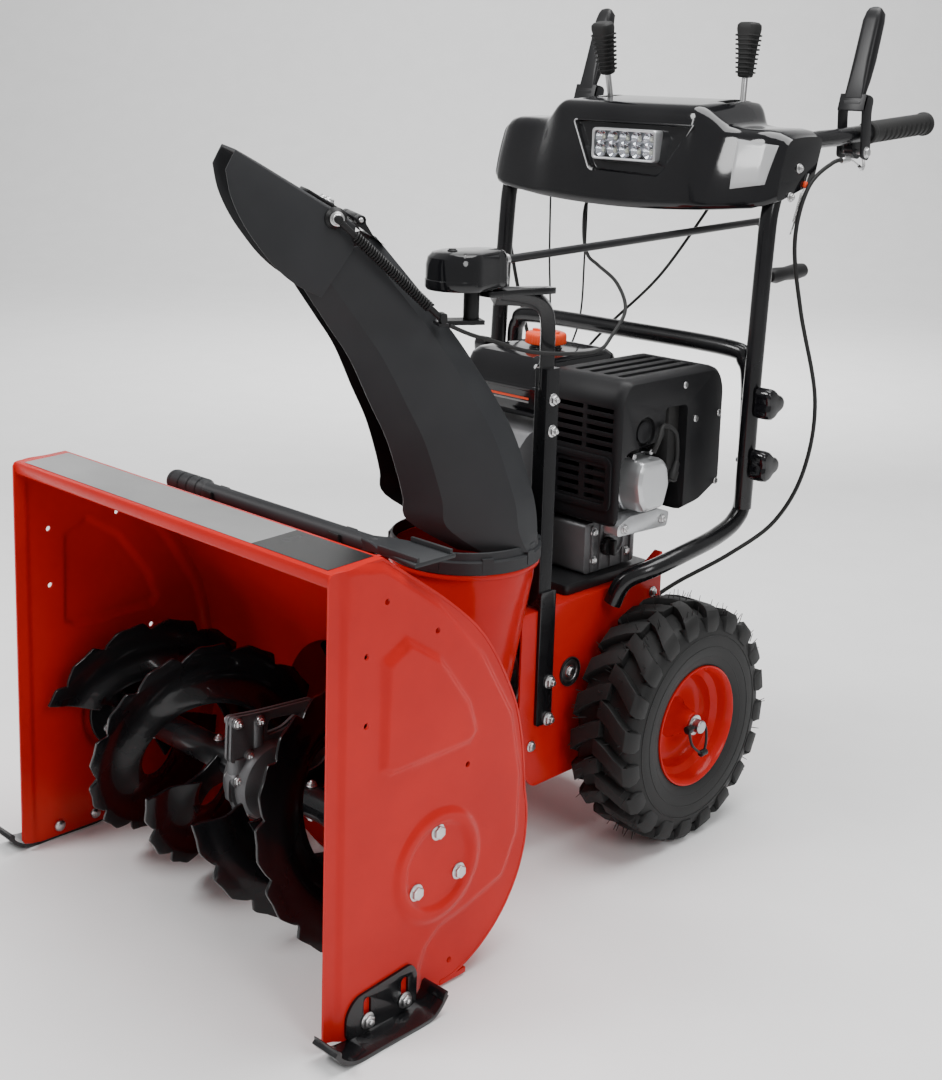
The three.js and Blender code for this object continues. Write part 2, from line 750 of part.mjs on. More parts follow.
function tyre() {
  const [inner, outer] = TYRE_X;
  const profile = [
    [RIM_R + 1, inner + 8],
    [RIM_R + 26, inner],
    [TYRE_R - 22, inner + 2],
    [TYRE_R, inner + 24],
    [TYRE_R, outer - 24],
    [TYRE_R - 22, outer - 2],
    [RIM_R + 26, outer],
    [RIM_R + 1, outer - 8],
    [RIM_R + 1, inner + 8],
  ];
  return turned("x", [AXLE_Y, AXLE_Z], profile, 28);
}

function rim() {
  const [inner, outer] = TYRE_X;
  const profile = [
    [AXLE_R + RUNNING, 214],
    [22, 214],
    [24, 250],
    [74, inner + 14],
    [RIM_R, inner + 8],
    [RIM_R, outer - 6],
    [77, outer - 8],
    [62, 266],
    [24, 258],
    [24, 276],
    [AXLE_R + RUNNING, 276],
    [AXLE_R + RUNNING, 214],
  ];
  return turned("x", [AXLE_Y, AXLE_Z], profile, 22);
}

// ---- engine ----
function engineBlock() {
  const base = box([-112, 150], [558, 738], [BODY_Z[1] + GAP, 362]);
  const crankcase = hull([
    ...boxCorners([-108, 48], [556, 734], [370, 520]),
    ...boxCorners([-88, 28], [562, 730], [358, 552]),
  ]);
  const cylinder = box([40, 164], [622, 702], [434, 532]);
  const nose = rod("y", [CRANKSHAFT_Z, CRANK_X], 547, 560, 40);
  const bore = rod("y", [CRANKSHAFT_Z, CRANK_X], 520, 580, 11.5);
  const foot = box([40, 140], [610, 720], [361, 436]);
  return cut(join(base, crankcase, cylinder, foot, nose), bore, fuelTankRoom());
}

function fuelTankRoom() {
  return box([-116, 55], [606, 796], [556, 700]);
}

function enginePulley() {
  const shaft = rod("y", [CRANKSHAFT_Z, CRANK_X], 522, 575, 10);
  const pulley = rod("y", [CRANKSHAFT_Z, CRANK_X], BELT_Y[0] - 1, BELT_Y[1] + 1, ENGINE_PULLEY_R);
  return join(shaft, pulley);
}

function beltLoop(grow) {
  const ends = [
    [0, AUGER_Z, IMPELLER_PULLEY_R + grow],
    [CRANK_X, CRANKSHAFT_Z, ENGINE_PULLEY_R + grow],
  ];
  return ends.flatMap(([x, z, radius]) => circlePoints([x, z], radius, 0, 24));
}

function augerBelt() {
  const band = (grow, y) => beltLoop(grow).flatMap(([x, z]) => [[x, y[0], z], [x, y[1], z]]);
  return cut(hull(band(8, BELT_Y)), hull(band(1.6, [BELT_Y[0] - 5, BELT_Y[1] + 5])));
}

function beltCover() {
  const wide = (x, y, low, high) =>
    hull([
      ...boxCorners([CRANK_X - x, x], y, [low]),
      ...boxCorners([CRANK_X - x + 20, x - 20], y, [high]),
    ]);
  return cut(wide(72, [516, 544.5], 300, 540), wide(69, [519, 560], 290, 537));
}

function engineCover() {
  const shell = (inset) =>
    hull(
      [COVER_X[0] - (inset ? 20 : 0), COVER_X[1] - inset].flatMap((x) => [
        [x, 600 + inset, 622 - inset],
        [x, 614 + inset, 641 - inset],
        [x, 822 - inset, 641 - inset],
        [x, 838 - inset, 622 - inset],
        [x, 838 - inset, 470],
        [x, 790, 447 - inset],
        [x, 745, 441 - inset],
        [x, 600 + inset, 441 - inset],
      ]),
    );
  const portal = box([150, 210], [612, 712], [430, 545]);
  return cut(shell(0), shell(SHEET), portal);
}

function muffler() {
  return hull(
    [84, 180].flatMap((x) => [
      [x, 722, 490],
      [x, 722, 600],
      [x, 736, 616],
      [x, 806, 616],
      [x, 822, 600],
      [x, 822, 490],
      [x, 806, 474],
      [x, 736, 474],
    ]),
  );
}

function valveCover() {
  const x = [164 + RUNNING, 210];
  return hull([
    [x[0], 632, 444],
    [x[0], 692, 444],
    [x[0], 638, 524],
    [x[0], 688, 524],
    [x[1], 642, 454],
    [x[1], 684, 454],
    [x[1], 646, 512],
    [x[1], 678, 516],
  ]);
}

function fuelTank() {
  const corners = [
    [-112, 612, 562],
    [50, 612, 562],
    [-112, 612, 606],
    [50, 612, 630],
    [-70, 622, 649],
    [50, 622, 649],
    [-112, 788, 562],
    [50, 788, 562],
    [-112, 788, 606],
    [50, 788, 630],
    [-70, 778, 649],
    [50, 778, 649],
  ];
  const filler = rod("z", [CAP_X, CAP_Y], 640, 655, 22);
  return join(hull(corners), filler);
}

function fuelCap() {
  return turned(
    "z",
    [CAP_X, CAP_Y],
    [
      [0, 656],
      [29, 656],
      [30, 670],
      [24, 675],
      [0, 675],
    ],
    16,
  );
}

function recoilHousing() {
  const shell = turned(
    "y",
    [CRANKSHAFT_Z, CRANK_X],
    [
      [0, 738],
      [80, 738],
      [80, 775],
      [66, 798],
      [0, 800],
    ],
    24,
  );
  const spout = box([-66, -34], [770, 803], [500, 532]);
  const eyelet = rod("y", [RECOIL_Z, RECOIL_X], 780, 810, 5);
  return cut(join(shell, spout), eyelet);
}

function recoilHandle() {
  const bar = rod("x", [RECOIL_HANDLE_Y, RECOIL_Z], RECOIL_X - 48, RECOIL_X + 48, 9);
  const stem = rod("y", [RECOIL_Z, RECOIL_X], 804, RECOIL_HANDLE_Y - 2, 7);
  const ropeEnd = rod("y", [RECOIL_Z, RECOIL_X], 786, 806, 2.5);
  return join(bar, stem, ropeEnd);
}

function chokeKnob() {
  const knob = rod("x", [CHOKE_Y, CHOKE_Z], CHOKE_X + 8, CHOKE_X + 18, 13);
  const wingX = [CHOKE_X + 16, CHOKE_X + 26];
  const wing = box(wingX, [CHOKE_Y - 3, CHOKE_Y + 3], [CHOKE_Z - 12, CHOKE_Z + 12]);
  return join(knob, wing);
}

function sparkPlugLead() {
  return tube(
    [
      [206, 706, 494],
      [204, 716, 512],
      [200.5, 722, 536],
      [203, 712, 562],
      [200, 690, 572],
      [206, 672, 556],
      [204, 664, 540],
    ],
    3.5,
    12,
    8,
  );
}

// ---- handles and controls ----
function upright() {
  const pipe = tube(
    [
      [UPRIGHT_X, 828, 442],
      [UPRIGHT_X, 832, 600],
      [UPRIGHT_X, 843, 808],
      [UPRIGHT_X, 852, 872],
      [UPRIGHT_X + 1, 878, 928],
      [UPRIGHT_X + 3, 925, 954],
      [UPRIGHT_X + 7, 1000, 961],
      [UPRIGHT_X + 7, 1120, 970],
      [UPRIGHT_X + 7, 1236, 979],
    ],
    HANDLE_R,
    16,
    8,
  );
  const lug = box(
    [UPRIGHT_X, UPRIGHT_X + 14],
    [LEVER_PIVOT[0] - 16, LEVER_PIVOT[0] + 16],
    [LEVER_PIVOT[1] - 10, LEVER_PIVOT[1] + 20],
  );
  const pinHole = rod("x", LEVER_PIVOT, 200, 280, 4 + RUNNING);
  const knobHoles = Object.values(KNOB_Z).map((z) =>
    rod("x", [knobY(z), z], 200, 280, KNOB_STUD_R + RUNNING),
  );
  return cut(join(pipe, lug), pinHole, ...knobHoles);
}

function knobY(z) {
  return z > 550 ? 834 : 831;
}

function grip() {
  const y = [1078, GRIP_END_Y];
  const z = (place) => 961 + (place - 1000) * 0.0763;
  const sleeve = tube(
    [
      [UPRIGHT_X + 7, y[0], z(y[0])],
      [UPRIGHT_X + 7, y[1], z(y[1])],
    ],
    GRIP_R,
    1,
    12,
  );
  const pipeRoom = tube(
    [
      [UPRIGHT_X + 7, 1000, z(1000)],
      [UPRIGHT_X + 7, 1240, z(1240)],
    ],
    HANDLE_R + 1,
    1,
    12,
  );
  return cut(sleeve, pipeRoom);
}

function lowerLoop() {
  const leg = (side) => [
    [side * 179, 622, 330],
    [side * 190, 634, 362],
    [side * 214, 668, 380],
    [side * LOOP_X, 732, 394],
    [side * LOOP_X, 791, 402],
    [side * LOOP_X, 838, 418],
    [side * LOOP_X, 856, 452],
    [side * LOOP_X, 856, 562],
    [side * LOOP_X, 852, 622],
    [side * (LOOP_X - 8), 851, 648],
    [side * (LOOP_X - 36), 850, 662],
  ];
  const route = [...leg(1), [0, 850, 664], ...leg(-1).reverse()];
  return tube(route, HANDLE_R, 32, 8, 0.4);
}

function clutchLever() {
  const [py, pz] = LEVER_PIVOT;
  const length = Math.hypot(LEVER_TIP[0] - py, LEVER_TIP[1] - pz);
  const lean = Math.atan2(LEVER_TIP[0] - py, LEVER_TIP[1] - pz);
  const centre = UPRIGHT_X + 7;
  const flanges = [-1, 1].map((side) => {
    const x = [side * 18, side * 21].sort((a, b) => a - b);
    const outline = [
      [-9, -10],
      [9, -10],
      [12, 0],
      [-6, 60],
      [-10, length - 12],
      [-20, length],
      [-33, length - 8],
      [-34, 58],
      [-12, 0],
    ];
    return prism("x", outline, ...x);
  });
  const web = prism(
    "x",
    [
      [-34, 62],
      [-30, 62],
      [-29, length - 9],
      [-20, length - 3],
      [-20, length],
      [-33, length - 8],
    ],
    -21,
    21,
  );
  const pin = rod("x", [0, 0], -23, 23, 4);
  const standing = join(...flanges, web, pin);
  return moved(standing.rotate([(-lean * 180) / Math.PI, 0, 0]), centre, py, pz);
}

function knob(z) {
  const stud = rod("x", [knobY(z), z], 226, 262, KNOB_STUD_R);
  const outline = Array.from({ length: 15 }, (_, i) => {
    const angle = (2 * Math.PI * i) / 15;
    const radius = 20 + 4 * Math.cos(3 * angle);
    return [knobY(z) + radius * Math.cos(angle), z + radius * Math.sin(angle)];
  });
  return join(stud, prism("x", outline, 256.5, 284));
}

function dashShell(inset) {
  const half = DASH_HALF - inset;
  const drop = inset ? 40 : 0;
  const side = (x) => [
    [x, 829 + inset, 864 - drop],
    [x, 925 - inset, 895 - drop],
    [x, 952 - inset, 975 - inset],
    [x, 876 + inset, 979 - inset],
    [x, 852 + inset, 972 - inset],
  ];
  const middle = (x) => [
    [x, 802 + inset, 849 - drop],
    [x, 965 - inset, 880 - drop],
    [x, 826 + inset, 1000 - inset],
    [x, 992 - inset, 1008 - inset],
  ];
  const ends = [...side(half), ...side(-half)];
  return hull([...ends, ...middle(DASH_MIDDLE_HALF), ...middle(-DASH_MIDDLE_HALF)]);
}

function dashPanel() {
  const pipes = [-1, 1].map((side) =>
    tube(
      [
        [side * (UPRIGHT_X + 2), 890, 940],
        [side * (UPRIGHT_X + 4), 925, 954],
        [side * (UPRIGHT_X + 7), 1000, 961],
      ],
      HANDLE_R + 2,
      2,
      8,
    ),
  );
  const slots = Object.values(SHIFT_X).map((x) => box([x - 8, x + 8], [892, 1000], [960, 1020]));
  const pivotBar = rod("x", SHIFT_PIVOT, -143, 143, 4);
  const ear = box([-3, 3], [925, 957], [888, 1020]);
  const ears = [-140, 140].map((x) => moved(ear, x, 0, 0));
  const strap = box([CHUTE_X - 3, CHUTE_X + 3], [876, 890], [822, 1020]);
  const eye = rod("y", [crankHeight(883), CHUTE_X], 876, 890, 11);
  const eyeHole = rod("y", [crankHeight(883), CHUTE_X], 870, 900, 7);
  const lampX = [LAMP_X[0] - GAP, LAMP_X[1] + GAP];
  const lampRoom = box(lampX, [780, 832], [LAMP_Z[0] - 1, LAMP_Z[1] + 1]);
  const strapRoom = box([100, 140], [870, 900], [800, 900]);
  const inside = join(...ears, strap).intersect(join(dashShell(0), strapRoom));
  const shell = cut(dashShell(0), dashShell(DASH_WALL), ...pipes, lampRoom);
  return cut(join(shell, inside, eye, pivotBar), ...slots, eyeHole);
}

function crankHeight(y) {
  return CRANK_Z + (y - CRANK_FRONT_Y) * Math.tan(CRANK_SLOPE);
}

function headlight() {
  return hull([
    ...boxCorners(LAMP_X, [806, 830], [LAMP_Z[0]]),
    ...boxCorners(LAMP_X, [812, 830], [LAMP_Z[1]]),
  ]);
}

function shiftLever(x, tip) {
  const [py, pz] = SHIFT_PIVOT;
  const length = Math.hypot(tip[0] - py, tip[1] - pz);
  const lean = Math.atan2(tip[0] - py, tip[1] - pz);
  const hub = cut(rod("x", [0, 0], -9, 9, 10), rod("x", [0, 0], -10, 10, 4 + RUNNING));
  const stem = rod("z", [0, 0], 8, length - 70, 4.5);
  const handle = hull([
    ...boxCorners([-10, 10], [-10, 10], [length - 78]),
    ...boxCorners([-11, 11], [-11, 11], [length - 60]),
    ...boxCorners([-17, 17], [-13, 13], [length - 6]),
    ...boxCorners([-13, 13], [-10, 10], [length]),
  ]);
  return moved(join(hub, stem, handle).rotate([(-lean * 180) / Math.PI, 0, 0]), x, py, pz);
}

function driveCable() {
  return tube(
    [
      [268, 1004, 931],
      [268, 960, 926],
      [269, 900, 893],
      [270, 874, 820],
      [272, 898, 722],
      [276, 947, 588],
      [262, 953, 480],
      [236, 926, 403],
      [200, 870, 356],
      [160, 800, 318],
      [150, 751 + GAP, 300],
    ],
    DRIVE_CABLE_R,
    24,
    8,
  );
}

function deflectorCable() {
  return tube(
    [
      chutePoint(48, SPRING_W, 741),
      [166, 340, 728],
      [168, 376, 717],
      [178, 439, 698],
      [185, 524, 688],
      [172, 580, 686],
      [150, 626, 692],
      [120, 695, 721],
      [60, 749, 748],
      [-17, 800, 762],
      [-50, 815, 773],
      [-72, 830, 800],
      [-87, 850, 844],
      [-98, 890, 876],
      [-100, 922, 886],
    ],
    DEFLECTOR_CABLE_R,
    32,
    8,
  );
}

function cleanoutTool() {
  const handle = rod("x", [TOOL_Y, TOOL_Z], -158, 232, TOOL_R);
  const gripSleeve = rod("x", [TOOL_Y, TOOL_Z], -158, -84, TOOL_R + 3);
  const blade = hull([
    ...boxCorners([214], [TOOL_Y - 12, TOOL_Y + 12], [516, 526]),
    ...boxCorners([250], [118, 170], [519, 525]),
    ...boxCorners([314], [112, 174], [519, 525]),
  ]);
  return join(handle, gripSleeve, blade);
}

// ---- assembly ----
function addPair(name, shape, look) {
  add(name + "_left", shape, look);
  add(name + "_right", mirrored(shape), look);
}

add("housing_wrap", housingWrap(), RED);
addPair("side_panel", sidePanel(), RED);
addPair("auger_bearing", augerBearing(), STEEL);
addPair("skid_shoe", skidShoe(), BLACK_PAINT);
add("impeller_drum", drumAndOutlet(), RED);
addPair("auger", auger(), BLACK_PAINT);
add("auger_shaft", rod("x", [AUGER_Y, AUGER_Z], -296, 296, SHAFT_R), STEEL);
add("gearcase", gearcase(), CAST);
add("impeller", impeller(), BLACK_PAINT);
add("impeller_shaft", impellerShaft(), STEEL);
add("chute", chute(), CHARCOAL);
add("deflector", deflector(), CHARCOAL);
add("deflector_spring", deflectorSpring(), BLACK_PLASTIC);
add("deflector_cable", deflectorCable(), BLACK_PLASTIC);
add("gear_head", gearHead(), BLACK_PLASTIC);
add("chute_post", chutePost(), BLACK_PAINT);
add("crank_rod", crankRod(), BLACK_PAINT);
add("cleanout_tool", cleanoutTool(), BLACK_PLASTIC);
add("tractor_body", tractorBody(), RED);
add("axle", axle(), STEEL);
addPair("rim", rim(), RED);
addPair("tyre", tyre(), RUBBER);
add("friction_disc", frictionDisc(), STEEL);
add("friction_wheel", frictionWheel(), STEEL);
add("engine_block", engineBlock(), CAST);
add("engine_pulley", enginePulley(), STEEL);
add("auger_belt", augerBelt(), RUBBER);
add("belt_cover", beltCover(), BLACK_PLASTIC);
add("engine_cover", engineCover(), BLACK_PLASTIC);
add("muffler", muffler(), CAST);
add("valve_cover", valveCover(), STEEL);
add("fuel_tank", fuelTank(), BLACK_PLASTIC);
add("fuel_cap", fuelCap(), ORANGE);
add("recoil_housing", recoilHousing(), BLACK_PLASTIC);
add("recoil_handle", recoilHandle(), BLACK_PLASTIC);
add("choke_knob", chokeKnob(), BLACK_PLASTIC);
add("spark_plug_lead", sparkPlugLead(), RUBBER);
add("lower_handle", lowerLoop(), BLACK_PAINT);
addPair("handle_tube", upright(), BLACK_PAINT);
addPair("grip", grip(), RUBBER);
addPair("clutch_lever", clutchLever(), BLACK_PLASTIC);
for (const [place, z] of Object.entries(KNOB_Z)) addPair(place + "_knob", knob(z), BLACK_PLASTIC);
add("dash_panel", dashPanel(), BLACK_PLASTIC);
add("headlight", headlight(), CLEAR);
add("speed_lever", shiftLever(SHIFT_X.speed, [953, 1120]), BLACK_PLASTIC);
add("deflector_lever", shiftLever(SHIFT_X.deflector, [885, 1117]), BLACK_PLASTIC);
addPair("drive_cable", driveCable(), BLACK_PLASTIC);

export default part;
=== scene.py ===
import math
import random

import bmesh
import bpy
from mathutils import Matrix, Vector


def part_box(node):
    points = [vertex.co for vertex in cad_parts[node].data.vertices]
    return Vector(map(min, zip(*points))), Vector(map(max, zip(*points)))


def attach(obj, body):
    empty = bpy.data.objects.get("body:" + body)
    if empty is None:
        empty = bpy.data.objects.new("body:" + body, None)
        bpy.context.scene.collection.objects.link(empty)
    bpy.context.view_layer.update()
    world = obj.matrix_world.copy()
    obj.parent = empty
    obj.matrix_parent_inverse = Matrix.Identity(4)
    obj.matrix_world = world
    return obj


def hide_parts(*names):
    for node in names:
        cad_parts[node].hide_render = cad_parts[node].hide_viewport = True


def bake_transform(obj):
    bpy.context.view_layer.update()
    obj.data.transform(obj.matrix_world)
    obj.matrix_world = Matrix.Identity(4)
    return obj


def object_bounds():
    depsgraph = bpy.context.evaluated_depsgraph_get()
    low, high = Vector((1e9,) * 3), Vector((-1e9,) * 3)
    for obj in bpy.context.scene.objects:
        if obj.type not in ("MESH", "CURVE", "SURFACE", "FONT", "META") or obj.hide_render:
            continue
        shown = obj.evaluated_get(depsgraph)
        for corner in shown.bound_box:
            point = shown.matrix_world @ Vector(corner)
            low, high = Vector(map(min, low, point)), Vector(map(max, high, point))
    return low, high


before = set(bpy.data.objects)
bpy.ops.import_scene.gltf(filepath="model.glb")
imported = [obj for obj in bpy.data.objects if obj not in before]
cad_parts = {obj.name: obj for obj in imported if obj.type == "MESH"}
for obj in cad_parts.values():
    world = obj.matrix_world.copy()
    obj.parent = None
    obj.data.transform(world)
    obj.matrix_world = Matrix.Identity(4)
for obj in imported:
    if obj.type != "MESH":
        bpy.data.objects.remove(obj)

CAD_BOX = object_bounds()
FRONT_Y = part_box("side_panel_left")[0][1]
MM = 0.001

# ---- driving dimensions: places are (y, z) in millimetres unless said otherwise ----
HALF_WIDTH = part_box("skid_shoe_left")[0][0] / MM - 0.35
AUGER = (163, 161)
HOUSING_R = 157
SHELF_Z = 534
SHELF_END = (76, 537)
SHEET = 3
BEARING_BOLTS = [(162, 202), (197, 142), (130, 140)]
SHOE_BOLTS = [(57, 18), (113, 18)]
CHUTE = (120, 388)  # (x, y) of its axis
CHUTE_YAW = math.radians(30)
HINGE = (150, 862)  # (ahead of the chute's axis, z)
AXLE = (692, 165)
DRIVEN_SHAFT = (627, 200)
CRANKSHAFT = (453, -25)  # (z, x)
TOOL = (142, 517)
WHEEL_X = 235.5
GRIP_X = 250
BODY_HALF = 165
BODY_Y = (455, 750)
BODY_Z = (100, 347)
LEVER_PIVOT = (1045, 940)
SHIFT_PIVOT = (941, 897)
CRANK_FRONT = (410, 805)
CRANK_REAR = (1000, 829)
LEFT, RIGHT = 1, -1
SIDES = ((LEFT, "left"), (RIGHT, "right"))


def metres(p):
    return (p[0] * MM, p[1] * MM + FRONT_Y, p[2] * MM)


# ---- camera first ----
def add_camera():
    right = Vector((0.72299, 0.69016, 0.03113))
    up = Vector((-0.15291, 0.11591, 0.98142))
    back = right.cross(up)
    turn = Matrix((right, up, back)).transposed().to_4x4()
    data = bpy.data.cameras.new("camera")
    data.lens = 52.5
    data.sensor_width = 36
    data.shift_x = -0.0079
    data.shift_y = -0.15
    camera = bpy.data.objects.new("camera", data)
    camera.matrix_world = Matrix.Translation((1.45054, -1.62086, 1.03383)) @ turn
    bpy.context.scene.collection.objects.link(camera)
    bpy.context.scene.camera = camera


# ---- materials ----
def node_material(name):
    made = bpy.data.materials.new(name)
    made.use_nodes = True
    tree = made.node_tree
    return made, tree, tree.nodes["Principled BSDF"]


def noise(tree, scale, detail=3.0, stretch=(1, 1, 1)):
    place = tree.nodes.new("ShaderNodeTexCoord")
    size = tree.nodes.new("ShaderNodeMapping")
    size.inputs["Scale"].default_value = stretch
    texture = tree.nodes.new("ShaderNodeTexNoise")
    texture.inputs["Scale"].default_value = scale
    texture.inputs["Detail"].default_value = detail
    tree.links.new(place.outputs["Object"], size.inputs["Vector"])
    tree.links.new(size.outputs["Vector"], texture.inputs["Vector"])
    return texture.outputs["Fac"]


def tint(tree, shader, factor, dark, light, low=0.35, high=0.65):
    ramp = tree.nodes.new("ShaderNodeValToRGB")
    ramp.color_ramp.elements[0].position = low
    ramp.color_ramp.elements[0].color = (*dark, 1)
    ramp.color_ramp.elements[1].position = high
    ramp.color_ramp.elements[1].color = (*light, 1)
    tree.links.new(factor, ramp.inputs["Fac"])
    tree.links.new(ramp.outputs["Color"], shader.inputs["Base Color"])


def roughen(tree, shader, factor, low, high):
    spread = tree.nodes.new("ShaderNodeMapRange")
    spread.inputs["From Min"].default_value = 0.3
    spread.inputs["From Max"].default_value = 0.7
    spread.inputs["To Min"].default_value = low
    spread.inputs["To Max"].default_value = high
    tree.links.new(factor, spread.inputs["Value"])
    tree.links.new(spread.outputs["Result"], shader.inputs["Roughness"])


def bump(tree, shader, factor, depth):
    relief = tree.nodes.new("ShaderNodeBump")
    relief.inputs["Strength"].default_value = 1.0
    relief.inputs["Distance"].default_value = depth * MM
    tree.links.new(factor, relief.inputs["Height"])
    tree.links.new(relief.outputs["Normal"], shader.inputs["Normal"])


def surface(name, dark, light, rough, grain, depth, metal=0.0, coat=0.0, stretch=(1, 1, 1), sheen=0.28):
    """A finish with slow colour drift, roughness that follows it, and a fine relief."""
    made, tree, shader = node_material(name)
    slow = noise(tree, 9, 4, stretch)
    tint(tree, shader, slow, dark, light)
    roughen(tree, shader, slow, rough[0], rough[1])
    bump(tree, shader, noise(tree, grain, 4, stretch), depth)
    shader.inputs["Metallic"].default_value = metal
    shader.inputs["Coat Weight"].default_value = coat
    shader.inputs["Coat Roughness"].default_value = 0.06
    shader.inputs["Specular IOR Level"].default_value = 0.5 if metal else sheen
    return made


def lens_material():
    made, tree, shader = node_material("lamp_glass")
    shader.inputs["Transmission Weight"].default_value = 1.0
    shader.inputs["IOR"].default_value = 1.35
    shader.inputs["Base Color"].default_value = (0.95, 0.97, 1.0, 1)
    roughen(tree, shader, noise(tree, 40), 0.02, 0.08)
    return made


RED = surface("red_paint", (0.45, 0.014, 0.011), (0.51, 0.017, 0.013), (0.18, 0.26), 260, 0.04, coat=0.06,
              sheen=0.1)
BLACK = surface("black_gloss_paint", (0.004, 0.004, 0.005), (0.008, 0.008, 0.009), (0.22, 0.32), 240, 0.06,
                coat=0.35)
SATIN = surface("black_satin_paint", (0.008, 0.008, 0.009), (0.014, 0.014, 0.015), (0.32, 0.42), 300, 0.05)
CHARCOAL = surface("charcoal_plastic", (0.018, 0.019, 0.021), (0.024, 0.025, 0.027), (0.46, 0.55), 1500,
                   0.08)
PLASTIC = surface("black_plastic", (0.006, 0.006, 0.006), (0.011, 0.011, 0.012), (0.38, 0.48), 1300, 0.07)
COVER = surface("cover_plastic", (0.006, 0.006, 0.007), (0.010, 0.010, 0.011), (0.42, 0.5), 1500, 0.1,
                sheen=0.24)
GLOSS = surface("gloss_black_plastic", (0.004, 0.004, 0.005), (0.007, 0.007, 0.008), (0.08, 0.13), 120,
                0.03, coat=0.35, sheen=0.3)
# near-black sheets set in the engine cover's openings: painted shade where the inside would be seen
PAINTED_SHADE = surface("painted_shade_black", (0.004, 0.004, 0.004), (0.008, 0.008, 0.008), (0.6, 0.7), 900, 0.08)
RUBBER = surface("rubber", (0.012, 0.012, 0.012), (0.02, 0.02, 0.02), (0.55, 0.68), 900, 0.12)
TYRE = surface("tyre_rubber", (0.009, 0.009, 0.009), (0.017, 0.017, 0.017), (0.5, 0.66), 700, 0.16)
ZINC = surface("zinc_steel", (0.5, 0.5, 0.5), (0.66, 0.66, 0.66), (0.24, 0.38), 900, 0.04, metal=1.0)
STEEL = surface("bare_steel", (0.42, 0.42, 0.43), (0.55, 0.55, 0.56), (0.26, 0.4), 500, 0.03, 1.0,
                stretch=(0.1, 1, 1))
CAST = surface("grey_casting", (0.10, 0.10, 0.104), (0.15, 0.15, 0.154), (0.36, 0.5), 420, 0.3, metal=0.5)
ALLOY = surface("cast_alloy", (0.3, 0.3, 0.31), (0.42, 0.42, 0.43), (0.38, 0.5), 600, 0.2, metal=0.9)
SILVER = surface("silver_paint", (0.5, 0.51, 0.52), (0.6, 0.61, 0.62), (0.28, 0.36), 500, 0.06, metal=0.7)
ORANGE = surface("orange_plastic", (0.72, 0.06, 0.015), (0.8, 0.075, 0.02), (0.3, 0.4), 700, 0.06)
LABEL = surface("grey_label", (0.2, 0.2, 0.2), (0.26, 0.26, 0.26), (0.3, 0.36), 60, 0.01)
LABEL_DARK = surface("dark_label", (0.012, 0.012, 0.012), (0.02, 0.02, 0.02), (0.24, 0.3), 60, 0.01)
REFLECTOR = surface("reflector", (0.75, 0.76, 0.78), (0.9, 0.9, 0.92), (0.06, 0.12), 80, 0.02, metal=1.0)
LED = surface("led_chip", (0.8, 0.8, 0.62), (0.95, 0.95, 0.8), (0.2, 0.3), 900, 0.02)
# pale colour that is a painted highlight: the light's reflection on the gloss dash, on its left lobe and
# the recess's left edge
PAINTED_HIGHLIGHT = surface("painted_highlight_facet", (0.34, 0.345, 0.35), (0.4, 0.405, 0.41), (0.16, 0.22), 60, 0.01, coat=0.5)
SOOT = surface("dark_steel", (0.02, 0.02, 0.02), (0.035, 0.034, 0.033), (0.45, 0.6), 300, 0.2, metal=0.6)
GLASS = lens_material()

# ---- shapes: each is (vertices, faces) in millimetres ----
AXES = {
    "x": (Vector((0, 1, 0)), Vector((0, 0, 1)), Vector((1, 0, 0))),
    "y": (Vector((0, 0, 1)), Vector((1, 0, 0)), Vector((0, 1, 0))),
    "z": (Vector((1, 0, 0)), Vector((0, 1, 0)), Vector((0, 0, 1))),
}


def on_axis(axis, a, b, c):
    u, v, w = AXES[axis]
    return u * a + v * b + w * c


def loft(rings, caps=True, closed=True):
    """Faces between rings of points, each ring a loop when closed."""
    count = len(rings[0])
    verts = [Vector(p) for ring in rings for p in ring]
    faces = []
    last = count if closed else count - 1
    for i in range(len(rings) - 1):
        for j in range(last):
            k = (j + 1) % count
            a, b = i * count, (i + 1) * count
            faces.append((a + j, a + k, b + k, b + j))
    if caps:
        end = (len(rings) - 1) * count
        faces.append(tuple(reversed(range(count))))
        faces.append(tuple(range(end, end + count)))
    return verts, faces


def prism(axis, outline, low, high):
    """An outline pushed along an axis: pairs are (y, z) along x, (z, x) along y, (x, y) along z."""
    return loft([[on_axis(axis, a, b, c) for a, b in outline] for c in (low, high)])


def box(x, y, z):
    return prism("z", rect(x[0], x[1], y[0], y[1]), z[0], z[1])


def polar(centre, radius, angle):
    """The pair at an angle and a radius around a centre."""
    return centre[0] + radius * math.cos(angle), centre[1] + radius * math.sin(angle)


def circle(centre, radius, sides=48, start=0.0):
    """A regular outline around a centre, as pairs."""
    turn = math.tau / sides
    return [polar(centre, radius, start + turn * i) for i in range(sides)]


def rod(axis, centre, low, high, radius, sides=32, edge=0.8):
    """A round bar between two places on its axis, with broken edges."""
    profile = [(radius - edge, low), (radius, low + edge), (radius, high - edge), (radius - edge, high)]
    return lathe(axis, centre, profile, sides)


def lathe(axis, centre, profile, sides=64):
    """Rings about an axis; the profile is (radius, place), capped flat at both ends."""
    rings = []
    for radius, place in profile:
        ring = circle(centre, max(radius, 0.02), sides)
        rings.append([on_axis(axis, a, b, place) for a, b in ring])
    return loft(rings)


def washer_ring(axis, centre, profile, sides=64):
    """A closed profile turned about an axis, with a hole through it."""
    rings = []
    for i in range(sides):
        angle = math.tau * i / sides
        rings.append([on_axis(axis, *polar(centre, r, angle), p) for r, p in profile])
    rings.append(rings[0])
    return loft(rings, caps=False)


